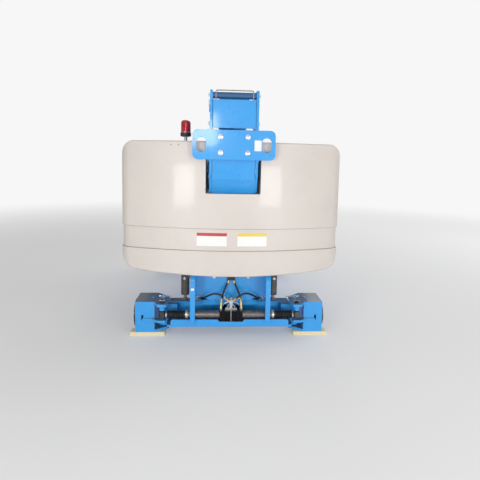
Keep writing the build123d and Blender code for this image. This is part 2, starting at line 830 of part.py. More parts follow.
# Hoods: open towards the turret, hinged along their inner top edge
for name, side in (("hood_left", -1), ("hood_right", 1)):
    with BuildPart() as hood:
        out = side * hood_x[1]
        inn = side * hood_x[0]
        ends = [(inn, hood_low), (out, hood_low), (out, hood_top), (inn, hood_top)]
        with BuildSketch(rear_plane(hood_y[1])) as skin:
            with BuildLine():
                Polyline(*ends, close=True)
            make_face()
            far = [v for v in skin.vertices() if abs(v.X - out) < 1 and abs(v.Y - hood_top) < 1]
            fillet(far, hood_r)
        extrude(skin.sketch, amount=hood_y[1] - hood_y[0])
        upright_edges = hood.edges().filter_by(Axis.Z).filter_by_position(Axis.X, out - 1, out + 1)
        fillet(upright_edges, hood_end_r)
        hollow = sorted((inn - side * hood_inner_step, out - side * hood_wall))
        hollow_y = (hood_y[0] + hood_wall, hood_y[1] - hood_wall)
        hollow_top = hood_top - hood_r * 0.5
        block(hollow, hollow_y, (hood_low - hood_inner_step, hollow_top), mode=Mode.SUBTRACT)
        for y in hinge_at:
            bar_y(side * hinge_x, hinge_z, hinge_tube_r, (y - hinge_tube_half, y + hinge_tube_half))
            leaf = sorted((side * hinge_x, side * leaf_reach))
            block(leaf, (y - hinge_tube_half, y + hinge_tube_half), (hood_top - 2, hood_top + 6))
            bore_y = (y - hinge_lug[0], y + hinge_lug[0])
            bar_y(side * hinge_x, hinge_z, hinge_pin_r + pin_play, bore_y, mode=Mode.SUBTRACT)
    finish(hood, name)

# Riser arm: a box tube between its two end bosses
riser_ends = (riser_head_y, riser_foot_y)
eye_lug = [
    (riser_eye_pin[0] - 90, riser_z - riser_half_z + 2),
    (riser_eye_pin[0] - 35, riser_eye_pin[1] - 40),
    (riser_eye_pin[0] + 35, riser_eye_pin[1] - 40),
    (riser_eye_pin[0] + 90, riser_z - riser_half_z + 2),
]
with BuildPart() as riser_arm:
    block((-riser_half_x, riser_half_x), riser_ends, (riser_z - riser_half_z, riser_z + riser_half_z))
    hollow_x = riser_half_x - riser_wall
    hollow_z = riser_half_z - riser_wall
    block(
        (-hollow_x, hollow_x),
        (riser_head_y + riser_solid, riser_foot_y - riser_solid),
        (riser_z - hollow_z, riser_z + hollow_z),
        mode=Mode.SUBTRACT,
    )
    for y in riser_ends:
        bar_x(y, riser_z, riser_half_z, (-riser_half_x, riser_half_x))
    for x in both(*riser_lug_x):
        side_slab(eye_lug, x)
    for y in riser_ends:
        bar_x(y, riser_z, riser_pin_r + pin_play, (-turret_inner, turret_inner), mode=Mode.SUBTRACT)
finish(riser_arm, "riser_arm")

# Levelling bars, one each side of the riser arm
level_head = (riser_head_y + level_dy, riser_z + level_dz)
with BuildPart() as riser_link:
    for x in both(*level_x):
        bar_span_z = (level_foot[1] - level_half_z, level_foot[1] + level_half_z)
        block(x, (level_head[0], level_foot[0]), bar_span_z)
        for y in (level_head[0], level_foot[0]):
            bar_x(y, level_foot[1], level_half_z + level_eye_over, x)
            bar_x(y, level_foot[1], level_pin_r + pin_play, x, mode=Mode.SUBTRACT)
finish(riser_link, "riser_link")

# Upright: two side plates, a cover, a folded lower back, the pins of its pivots
back_low = (riser_head_y + back_foot[0], riser_z + back_foot[1])
cover_z = (tie_low + tie_height + cover_gap, upright_top - cover_under_top)
front_edge = [(riser_head_y + ahead, riser_z + over) for ahead, over in upright_front]
upright_profile = [
    (upright_back, riser_z + 3 * back_fold / 2 + 50),
    (upright_back, upright_top),
    (boom_pivot_y + upright_nape, upright_top),
    (boom_pivot_y + upright_neck[0], boom_pivot_z + upright_neck[1]),
    *reversed(front_edge),
    (back_low[0] + 10, back_low[1] - 2),
]
lower_back = [
    (upright_back, back_top),
    (upright_back, riser_z + back_fold),
    back_low,
    (back_low[0] + upright_skin, back_low[1] + 6),
    (upright_back + upright_skin, riser_z + back_fold + 6),
    (upright_back + upright_skin, back_top),
]
with BuildPart() as upright:
    for x in both(upright_inner, upright_inner + upright_plate):
        side_slab(upright_profile, x, corner=upright_corner_r)
    span = (-upright_inner, upright_inner)
    block(span, (upright_back, upright_back + upright_skin), cover_z)
    side_slab(lower_back, span)
    bar_x(boom_pivot_y - cross_tube_back, boom_pivot_z + cross_tube_up, cross_tube_r, span)
    rod_y = upright_back + top_rod_back
    rod_z = upright_top - top_rod_under
    rod_foot = cover_z[1] - upright_skin
    rod_loop = [(x, rod_y, z) for x, z in (
        (-top_rod_x, rod_foot), (-top_rod_x, rod_z), (top_rod_x, rod_z), (top_rod_x, rod_foot))]
    tube_along(rod_loop, top_rod_r, top_rod_bend)
    ear_y = (upright_back + upright_skin - 1, rod_y + top_rod_r)
    for x in (-top_rod_x, top_rod_x):
        block((x - top_ear, x + top_ear), ear_y, (rod_foot - top_ear, rod_foot + 2))
    pin_half = upright_inner + upright_plate + pin_proud
    bar_x(riser_head_y, riser_z, riser_pin_r, (-pin_half, pin_half))
    bar_x(boom_pivot_y, boom_pivot_z, boom_pin_r, (-pin_half, pin_half))
    for x in both(level_x[0] - level_side, pin_half):
        bar_x(level_head[0], level_head[1], level_pin_r, x)
    bar_x(main_foot_pin[0], main_foot_pin[1], cyl_pin_r, (-pin_half, pin_half))
finish(upright, "upright")

# Tie plate with two upright oval holes
tie_mid_z = tie_low + tie_height / 2
with BuildPart() as tie_plate:
    with BuildSketch(rear_plane(tie_back + tie_thick)) as plate:
        with Locations((0, tie_mid_z)):
            RectangleRounded(tie_width, tie_height, tie_corner_r)
            with Locations((-tie_slot_x, 0), (tie_slot_x, 0)):
                SlotOverall(tie_slot[1], tie_slot[0], rotation=90, mode=Mode.SUBTRACT)
    extrude(plate.sketch, amount=tie_thick)
    pad_z = (tie_low + tie_pad_in, tie_low + tie_height - tie_pad_in)
    block((-upright_inner, upright_inner), (tie_back + tie_thick, upright_back), pad_z)
    for x in (-tie_bolt_x, tie_bolt_x):
        for z in (tie_low + tie_bolt_in, tie_low + tie_height - tie_bolt_in):
            bar_y(x, z, tie_washer[0], (tie_back - tie_washer[1], tie_back + 1))
            with BuildSketch(rear_plane(tie_back - tie_washer[1] + 1)) as head:
                with Locations((x, z)):
                    RegularPolygon(tie_head[0], 6)
            extrude(head.sketch, amount=tie_head[1] + 1)
finish(tie_plate, "tie_plate")


# The barrel of a lift cylinder, its foot eye, and the rod with its own eye
def lift_cylinder(foot, eye, barrel_r, rod_r, eye_r, eye_half, name):
    length = ((eye[0] - foot[0]) ** 2 + (eye[1] - foot[1]) ** 2) ** 0.5
    axis = Vector(0, (eye[0] - foot[0]) / length, (eye[1] - foot[1]) / length)
    tube = Plane(origin=(0, foot[0], foot[1]), x_dir=(1, 0, 0), z_dir=axis)
    barrel_end = length - barrel_short
    tube_start = barrel_r * 1.25
    with BuildPart() as barrel:
        bar_x(foot[0], foot[1], foot_eye_r, (-eye_half, eye_half))
        with BuildSketch(tube) as neck:
            Rectangle(2 * eye_half, 1.2 * foot_eye_r)
        extrude(neck.sketch, amount=tube_start)
        with BuildSketch(tube.offset(tube_start)) as section:
            Circle(barrel_r)
        extrude(section.sketch, amount=barrel_end - tube_start)
        with BuildSketch(tube.offset(tube_start + barrel_end_cap)) as bore:
            Circle(rod_r + rod_play)
        extrude(bore.sketch, amount=barrel_end, mode=Mode.SUBTRACT)
        bar_x(foot[0], foot[1], cyl_pin_r + pin_play, (-barrel_r, barrel_r), mode=Mode.SUBTRACT)
    finish(barrel, f"{name}_barrel")
    with BuildPart() as rod:
        rod_start = tube_start + barrel_end_cap + rod_in_cap
        with BuildSketch(tube.offset(rod_start)) as section:
            Circle(rod_r)
        extrude(section.sketch, amount=length - rod_start)
        bar_x(eye[0], eye[1], eye_r, (-eye_half, eye_half))
    finish(rod, f"{name}_rod")


riser_sizes = (riser_cyl_r, riser_cyl_rod_r, riser_eye_r, riser_eye_half)
lift_cylinder(riser_foot_pin, riser_eye_pin, *riser_sizes, "riser_cylinder")
main_eye_pin = on_boom(main_eye_along, -main_eye_under)
main_sizes = (main_cyl_r, main_cyl_rod_r, main_eye_r, main_eye_half)
lift_cylinder(main_foot_pin, main_eye_pin, *main_sizes, "main_cylinder")

# Main boom: a square tube with a solid tail round its pivot
boom_plane = Plane(origin=(0, boom_pivot_y, boom_pivot_z), x_dir=(1, 0, 0), z_dir=(0, *boom_dir))
tail = [
    on_boom(0, boom_tail_r),
    on_boom(boom_start, boom_half),
    on_boom(boom_start, -boom_half),
    on_boom(0, -boom_tail_r),
]
main_lug = [
    on_boom(main_eye_along - 90, -boom_half + 2),
    on_boom(main_eye_along - 30, -main_eye_under - 35),
    on_boom(main_eye_along + 30, -main_eye_under - 35),
    on_boom(main_eye_along + 90, -boom_half + 2),
]
with BuildPart() as main_boom:
    with BuildSketch(boom_plane.offset(boom_start)) as tube:
        Rectangle(2 * boom_half, 2 * boom_half)
    extrude(tube.sketch, amount=boom_length - boom_start)
    with BuildSketch(boom_plane.offset(boom_start + boom_solid)) as bore:
        Rectangle(2 * (boom_half - boom_wall), 2 * (boom_half - boom_wall))
    extrude(bore.sketch, amount=boom_length, mode=Mode.SUBTRACT)
    side_slab(tail, (-boom_half, boom_half))
    bar_x(boom_pivot_y, boom_pivot_z, boom_tail_r, (-boom_half, boom_half))
    for x in both(*boom_lug_x):
        side_slab(main_lug, x)
    bore = (-upright_inner, upright_inner)
    bar_x(boom_pivot_y, boom_pivot_z, boom_pin_r + pin_play, bore, mode=Mode.SUBTRACT)
finish(main_boom, "main_boom")

# Fly boom: slides out of the main boom, with a nose dropped to the platform
nose = [
    on_boom(fly_end - nose_long, fly_half),
    on_boom(fly_end - 20, fly_half),
    (level_pin[0] + 62, level_pin[1] + 50),
    (level_pin[0] + 40, level_pin[1] - 50),
    (level_pin[0] - 55, level_pin[1] - 20),
    on_boom(fly_end - nose_long, -fly_half),
]
with BuildPart() as fly_boom:
    with BuildSketch(boom_plane.offset(fly_start)) as tube:
        Rectangle(2 * fly_half, 2 * fly_half)
        Rectangle(2 * (fly_half - fly_wall), 2 * (fly_half - fly_wall), mode=Mode.SUBTRACT)
    extrude(tube.sketch, amount=fly_end - nose_long - fly_start)
    side_slab(nose, (-nose_half, nose_half), corner=nose_corner_r)
    with BuildSketch(boom_plane.offset(fly_end - fly_cap)) as cap:
        Rectangle(2 * fly_half, 2 * fly_half)
    extrude(cap.sketch, amount=fly_cap_thick)
    bar_x(level_pin[0], level_pin[1], level_pin_r + pin_play, (-cheek_x[1], cheek_x[1]), mode=Mode.SUBTRACT)
finish(fly_boom, "fly_boom")

# Platform support: two cheeks on the nose's pin, and the rotator's housing
cheek_z = (level_pin[1] - 170, level_pin[1] + 60)
cheek = [
    (level_pin[0] - 55, level_pin[1] - 60),
    (level_pin[0] - 55, cheek_z[1]),
    (rotator_y - 60, cheek_z[1]),
    (rotator_y - 60, cheek_z[0]),
    (level_pin[0] + 60, cheek_z[0]),
]
with BuildPart() as platform_support:
    for x in both(*cheek_x):
        side_slab(cheek, x, corner=12)
    block((-cheek_x[1], cheek_x[1]), (rotator_y - 90, rotator_y - 60), cheek_z)
    bar_z(0, rotator_y, rotator_r, (rotator_z[0] + 30, rotator_z[1] - 30))
    bar_x(level_pin[0], level_pin[1], level_pin_r, (-cheek_x[1] - pin_proud, cheek_x[1] + pin_proud))
finish(platform_support, "platform_support")

# Platform: floor tray with kick plates, and the bracket to the rotator
floor_y = (platform_back, platform_back + platform_deep)
floor_top = platform_floor + platform_tray
kick_z = (floor_top, platform_floor + kick_high)
with BuildPart() as platform_base:
    block((-platform_half, platform_half), floor_y, (platform_floor, floor_top))
    for y in (floor_y[0], floor_y[1] - kick_thick):
        block((-platform_half, platform_half), (y, y + kick_thick), kick_z)
    block((platform_half - kick_thick, platform_half), floor_y, kick_z)
    for y in ((floor_y[0], gate_y[0]), (gate_y[1], floor_y[1])):
        block((-platform_half, -platform_half + kick_thick), y, kick_z)
    plate_z = (rotator_z[0], rotator_z[0] + bracket_thick)
    bracket_x = (-bracket_half, bracket_half)
    block(bracket_x, (rotator_y, platform_back), plate_z)
    bar_z(0, rotator_y, rotator_plate_r, plate_z)
    block(bracket_x, (platform_back - bracket_deep, platform_back), (platform_floor, plate_z[1]))
finish(platform_base, "platform_base")

# Guard rails, open at the gate on the left
rail_x = platform_half - kick_thick - gate_post_r - kick_gap
rail_in = kick_thick + rail_r + kick_gap
rail_y = (floor_y[0] + rail_in, floor_y[1] - rail_in)
rail_top = floor_top + platform_high - rail_r
rail_levels = (floor_top + mid_rail, rail_top)
corner_in = rail_bend + 15.0
posts = [
    # x, y, radius
    (-rail_x + corner_in, rail_y[0], post_r),
    (0, rail_y[0], post_r),
    (rail_x - corner_in, rail_y[0], post_r),
    (rail_x, rail_y[0] + corner_in, post_r),
    (rail_x, rail_y[1] - corner_in, post_r),
    (rail_x - corner_in, rail_y[1], post_r),
    (0, rail_y[1], post_r),
    (-rail_x + corner_in, rail_y[1], post_r),
    (-rail_x, gate_y[0], gate_post_r),
    (-rail_x, gate_y[1], gate_post_r),
]
with BuildPart() as platform_rails:
    for z in rail_levels:
        loop = [
            (-rail_x, gate_y[0], z),
            (-rail_x, rail_y[0], z),
            (rail_x, rail_y[0], z),
            (rail_x, rail_y[1], z),
            (-rail_x, rail_y[1], z),
            (-rail_x, gate_y[1], z),
        ]
        tube_along(loop, rail_r, rail_bend)
    for x, y, r in posts:
        bar_z(x, y, r, (floor_top, rail_top + (3 if r > rail_r else 0)))
finish(platform_rails, "platform_rails")

# Gate: opens inwards from the post nearest the boom
gate_x = -rail_x
gate_inset = gate_post_r + gate_tube_r + gate_gap
gate_hinge_y = gate_y[0] + gate_inset
gate_far_y = gate_y[1] - gate_inset
with BuildPart() as platform_gate:
    for y in (gate_hinge_y, gate_far_y):
        bar_z(gate_x, y, gate_tube_r, (floor_top + gate_low, rail_top))
    for z in (floor_top + gate_foot_bar, rail_levels[0], rail_top - gate_tube_r - gate_bar_r):
        with BuildSketch(rear_plane(gate_far_y)) as bar:
            with Locations((gate_x, z)):
                Circle(gate_bar_r)
        extrude(bar.sketch, amount=gate_far_y - gate_hinge_y)
    gate_kick = (floor_top + gate_low, floor_top + kick_high)
    block((gate_x - kick_thick / 2, gate_x + kick_thick / 2), (gate_hinge_y, gate_far_y), gate_kick)
finish(platform_gate, "platform_gate")

# Control box on the front rail
with BuildPart() as control_box:
    box_y_far = rail_y[1] - rail_r
    front_view = [
        (box_y_far - 260, rail_top - 120),
        (box_y_far - 220, rail_top - 10),
        (box_y_far - 20, rail_top + 60),
        (box_y_far, rail_top + 40),
        (box_y_far, rail_top - 200),
        (box_y_far - 180, rail_top - 200),
    ]
    side_slab(front_view, (control_in, control_in + control_wide), corner=12)
finish(control_box, "control_box")

# Fittings: the clamp on the panel, the ports on the cylinder, the ends inside
port_x = (fitting_x - port_apart, fitting_x + port_apart)
port_top = clamp_z[1] + port_high
with BuildPart() as hose_fittings:
    block((fitting_x - 39, fitting_x + 39), (panel_y - 32, panel_y), (563, 610))
    for x in port_x:
        bar_z(x, steer_y, port_r, (clamp_z[1], port_top))
    block((fitting_x - 60, fitting_x + 60), (steer_y - 12, steer_y + 12), (clamp_z[1], clamp_z[1] + 18))
    block((fitting_x - 14, fitting_x + 14), (steer_y - 12, steer_y + 12), (clamp_z[1], tee_z + 10))
    block((fitting_x - 22, fitting_x + 22), (steer_y - 12, tee_y + 14), (tee_z - 14, tee_z + 14))
    for side in (-1, 1):
        x = sorted((side * frame_inner_x, side * (frame_inner_x - 42)))
        block(x, (panel_y + 21, panel_y + 50), (338, 376))
finish(hose_fittings, "hose_fittings")


# One hose as a tube of straight runs joined by the largest arcs that fit
def hose(points, name):
    corners = [Vector(*p) for p in points]
    radii = []
    for before, here, after in zip(corners, corners[1:], corners[2:]):
        turn = (here - before).get_angle(after - here)
        shorter = min((here - before).length, (after - here).length)
        radii.append(0.45 * shorter / tan(radians(turn / 2)))
    print(name, "radii", [round(r) for r in radii])
    with BuildPart() as cord:
        with BuildLine() as path:
            FilletPolyline(*points, radius=radii)
        with BuildSketch(Plane(origin=path.line @ 0, z_dir=path.line % 0)) as section:
            Circle(hose_r)
        sweep(section.sketch, path=path.line)
    length = path.wires()[0].length
    print(name, "length", round(length), "volume ratio", cord.part.volume / (pi * hose_r**2 * length))
    finish(cord, name)


hose(hose_drop_left, "hose_drop_left")
hose(hose_drop_right, "hose_drop_right")
hose(hose_loop_left, "hose_loop_left")
hose(hose_loop_right, "hose_loop_right")
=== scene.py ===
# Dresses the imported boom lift: camera, hoses, paint and rubber, labels, bolts and rails
import json
import math

import bmesh
import bpy
import numpy as np
from mathutils import Matrix, Vector


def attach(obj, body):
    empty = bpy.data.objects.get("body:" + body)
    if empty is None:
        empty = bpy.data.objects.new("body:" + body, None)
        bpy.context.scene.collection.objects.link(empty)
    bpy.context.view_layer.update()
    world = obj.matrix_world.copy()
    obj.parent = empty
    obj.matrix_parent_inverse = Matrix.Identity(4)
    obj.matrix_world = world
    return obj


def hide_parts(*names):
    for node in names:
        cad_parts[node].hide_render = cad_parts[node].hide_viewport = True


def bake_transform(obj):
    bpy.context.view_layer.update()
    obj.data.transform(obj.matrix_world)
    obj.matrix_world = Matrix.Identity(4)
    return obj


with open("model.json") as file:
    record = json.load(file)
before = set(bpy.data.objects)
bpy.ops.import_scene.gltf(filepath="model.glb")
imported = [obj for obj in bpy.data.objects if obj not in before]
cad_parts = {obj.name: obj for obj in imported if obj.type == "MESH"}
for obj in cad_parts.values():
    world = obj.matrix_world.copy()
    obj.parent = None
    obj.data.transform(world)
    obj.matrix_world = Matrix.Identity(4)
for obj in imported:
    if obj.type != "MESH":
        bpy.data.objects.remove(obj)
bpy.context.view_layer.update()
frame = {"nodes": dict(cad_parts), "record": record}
nodesOf = frame["nodes"]
print("frame loaded,", len(nodesOf), "nodes")

slewY = -2.0  # the slewing axis, as in the part's source
steerAxleY = slewY - 1.01
driveAxleY = slewY + 1.4
panelY = slewY - 1.061
steerY = steerAxleY - 0.171
steerZ = 0.235
up, ahead, astern = (0, 0, 1), (0, 1, 0), (0, -1, 0)


def newObject(name, data):
    made = bpy.data.objects.new(name, data)
    bpy.context.scene.collection.objects.link(made)
    return made


# Camera: behind the counterweight, a little above its middle
cameraLook = {
    "place": (-0.16, -7.23, 1.77),
    "down": 5.4,  # degrees under the horizon
    "aside": 3.4,  # degrees towards +X
    "roll": 1.15,  # degrees about the line of sight
    "lens": 30.68,
    "sensor": 36.0,
    "shift": -0.079,
    "reach": 200.0,
}


def setCamera(look):
    data = bpy.data.cameras.new("camera")
    data.lens = look["lens"]
    data.sensor_width = look["sensor"]
    data.shift_y = look["shift"]
    data.clip_end = look["reach"]
    eye = newObject("camera", data)
    eye.matrix_world = (
        Matrix.Translation(look["place"])
        @ Matrix.Rotation(-math.radians(look["aside"]), 4, "Z")
        @ Matrix.Rotation(math.radians(90.0 - look["down"]), 4, "X")
        @ Matrix.Rotation(math.radians(look["roll"]), 4, "Z")
    )
    bpy.context.scene.camera = eye
    bpy.context.view_layer.update()


setCamera(cameraLook)
bpy.context.scene.view_settings.view_transform = "Standard"
print("camera placed")


# Values and links for the inputs of a shader node
def feed(tree, node, inputs):
    for key, value in inputs.items():
        if isinstance(value, bpy.types.NodeSocket):
            tree.links.new(value, node.inputs[key])
        else:
            node.inputs[key].default_value = value


def addNode(tree, kind, inputs=None, **settings):
    node = tree.nodes.new("ShaderNode" + kind)
    for key, value in settings.items():
        setattr(node, key, value)
    feed(tree, node, inputs or {})
    return node


def reckon(tree, operation, *values):
    return addNode(tree, "Math", dict(enumerate(values)), operation=operation).outputs[0]


def newMaterial(name):
    material = bpy.data.materials.new(name)
    material.use_nodes = True
    tree = material.node_tree
    here = addNode(tree, "TexCoord").outputs["Object"]
    return material, tree, tree.nodes["Principled BSDF"], here


# Floor and light
lightLook = {
    "floor": (0.8, 0.8, 0.8),
    "floorRough": 0.85,
    "floorFar": 80.0,
    "paper": (0.93, 0.93, 0.93),
    "paperShare": 0.25,
    "fade": (3.5, 13.0),
    "sky": (1.0, 1.0, 1.0),
    "skyStrength": 0.4,
    "lamps": [
        # name, place, target, size, watts
        ("keyLamp", (-4.5, -9.5, 6.0), (0.0, -2.5, 1.2), (4.0, 4.0), 96.0),
        ("fillLamp", (5.0, -8.5, 4.0), (0.0, -2.5, 0.8), (4.0, 4.0), 62.0),
        ("lowLampLeft", (-2.9, -9.2, 1.2), (0.0, -3.2, 0.35), (1.4, 1.0), 106.0),
        ("lowLampRight", (2.7, -9.2, 1.2), (0.0, -3.2, 0.35), (1.4, 1.0), 96.0),
        ("highLamp", (-0.46, -9.6, 2.56), (-0.4, -3.4, 2.2), (0.64, 0.76), 20.0),
        ("backLamp", (1.5, 7.5, 6.5), (0.0, 0.0, 1.0), (5.0, 5.0), 210.0),
        ("sideLamp", (8.0, 1.0, 5.0), (0.0, 0.5, 0.8), (5.0, 5.0), 210.0),
    ],
}


# Camera rays see plain paper, all others a dimmer sky
def setLight(look):
    world = bpy.data.worlds.new("studio")
    bpy.context.scene.world = world
    world.use_nodes = True
    tree = world.node_tree
    back = tree.nodes["Background"]
    feed(tree, back, {"Color": (*look["sky"], 1.0), "Strength": look["skyStrength"]})
    bright = addNode(tree, "Background", {"Color": (*look["paper"], 1.0)})
    rays = addNode(tree, "LightPath").outputs
    either = reckon(tree, "MAXIMUM", rays["Is Camera Ray"], rays["Is Transmission Ray"])
    pick = addNode(tree, "MixShader", {"Fac": either, 1: back.outputs[0], 2: bright.outputs[0]})
    feed(tree, tree.nodes["World Output"], {"Surface": pick.outputs[0]})
    for name, place, target, size, watts in look["lamps"]:
        data = bpy.data.lights.new(name, "AREA")
        data.shape = "RECTANGLE"
        data.size, data.size_y = size
        data.energy = watts
        lamp = newObject(name, data)
        lamp.location = place
        lamp.rotation_euler = (Vector(target) - Vector(place)).to_track_quat("-Z", "Y").to_euler()


# The floor is plain near the machine and turns into the background further out
def setFloor(look):
    mesh = bpy.data.meshes.new("floor")
    far = look["floorFar"]
    corners = [(-far, -far, 0), (far, -far, 0), (far, far, 0), (-far, far, 0)]
    mesh.from_pydata(corners, [], [(0, 1, 2, 3)])
    floor = newObject("floor", mesh)
    material, tree, shader, here = newMaterial("floorFinish")
    feed(tree, shader, {"Base Color": (*look["floor"], 1.0), "Roughness": look["floorRough"]})
    glow = addNode(tree, "Emission", {"Color": (*look["paper"], 1.0)})
    reach = addNode(tree, "VectorMath", {0: here}, operation="LENGTH")
    fade = addNode(tree, "MapRange", {
        "Value": reach.outputs["Value"], "From Min": look["fade"][0], "From Max": look["fade"][1],
        "To Min": look["paperShare"],
    }, interpolation_type="SMOOTHSTEP")
    rays = addNode(tree, "LightPath").outputs
    seen = reckon(tree, "MULTIPLY", fade.outputs["Result"], rays["Is Camera Ray"])
    mix = addNode(tree, "MixShader", {"Fac": seen, 1: shader.outputs[0], 2: glow.outputs[0]})
    feed(tree, tree.nodes["Material Output"], {"Surface": mix.outputs[0]})
    mesh.materials.append(material)


setLight(lightLook)
setFloor(lightLook)
print("floor and lamps set")


# Materials. Each one is a colour that wanders a little over the surface, a
# roughness that wanders with it, and a bump with the grain of its own finish.
def noiseField(tree, here, scale, detail=3.0, stretch=(1, 1, 1), rough=0.5):
    mapping = addNode(tree, "Mapping", {"Vector": here, "Scale": stretch})
    return addNode(tree, "TexNoise", {
        "Vector": mapping.outputs["Vector"], "Scale": scale, "Detail": detail, "Roughness": rough,
    }).outputs["Fac"]


def rampOf(tree, source, stops):
    ramp = addNode(tree, "ValToRGB", {"Fac": source})
    for element, (at, colour) in zip(ramp.color_ramp.elements, stops):
        element.position = at
        element.color = (*colour, 1.0)
    for at, colour in stops[2:]:
        ramp.color_ramp.elements.new(at).color = (*colour, 1.0)
    return ramp.outputs["Color"]


def rangeOf(tree, source, low, high, start=0.0, end=1.0):
    return addNode(tree, "MapRange", {
        "Value": source, "To Min": low, "To Max": high, "From Min": start, "From Max": end,
    }).outputs[0]


def mixed(tree, share, under, over, **settings):
    inputs = {"Factor": share, "A": under, "B": over}
    return addNode(tree, "Mix", inputs, data_type="RGBA", **settings).outputs["Result"]


def bumped(tree, height, strength, distance):
    inputs = {"Height": height, "Strength": strength, "Distance": distance}
    return addNode(tree, "Bump", inputs).outputs["Normal"]


# Paint, plastic, rubber or metal: colour = ramp(broad noise), bump = fine noise
def coatFinish(name, row):
    colour, drift, scale, rough, roughDrift, grainScale, bump, depth, more = row
    material, tree, shader, here = newMaterial(name)
    broad = noiseField(tree, here, scale, 5.0, rough=0.6)
    base = np.array(colour)
    deep = tuple(base * (1.0 - drift))
    pale = tuple(base + (1.0 - base) * drift * more.get("lift", 0.35))
    paint = rampOf(tree, broad, [(0.3, deep), (0.52, colour), (0.74, pale)])
    if "soil" in more:
        share, soilScale, start, soilColour = more["soil"]
        patch = noiseField(tree, here, soilScale, 8.0, rough=0.7)
        mask = rampOf(tree, patch, [(start, (0, 0, 0)), (start + 0.16, (1, 1, 1))])
        paint = mixed(tree, rangeOf(tree, mask, 0.0, share), paint, (*soilColour, 1.0))
    # Upward faces turn a dark grey-brown: partly dust, partly a painted dark reflection on the tops
    if "dustAndReflection" in more:
        share, reflectionDustColour, lying = more["dustAndReflection"]
        normal = addNode(tree, "NewGeometry").outputs["Normal"]
        rise = addNode(tree, "SeparateXYZ", {0: normal}).outputs["Z"]
        paint = mixed(tree, rangeOf(tree, rise, 0.0, share, *lying), paint, (*reflectionDustColour, 1.0))
    if "zone" in more:
        middle, half, zoneColour = more["zone"]
        x = addNode(tree, "SeparateXYZ", {0: here}).outputs["X"]
        reach = reckon(tree, "ABSOLUTE", reckon(tree, "SUBTRACT", x, middle))
        paint = mixed(tree, reckon(tree, "LESS_THAN", reach, half), paint, (*zoneColour, 1.0))
    stretch = more.get("grainStretch", (1, 1, 1))
    grain = noiseField(tree, here, grainScale, more.get("grainDetail", 2.0), stretch)
    feed(tree, shader, {
        "Base Color": paint,
        "Roughness": rangeOf(tree, broad, rough - roughDrift, rough + roughDrift),
        "Metallic": more.get("metal", 0.0),
        "Coat Weight": more.get("coat", 0.0),
        "Coat Roughness": 0.08,
        "Normal": bumped(tree, grain, bump, depth),
    })
    return material


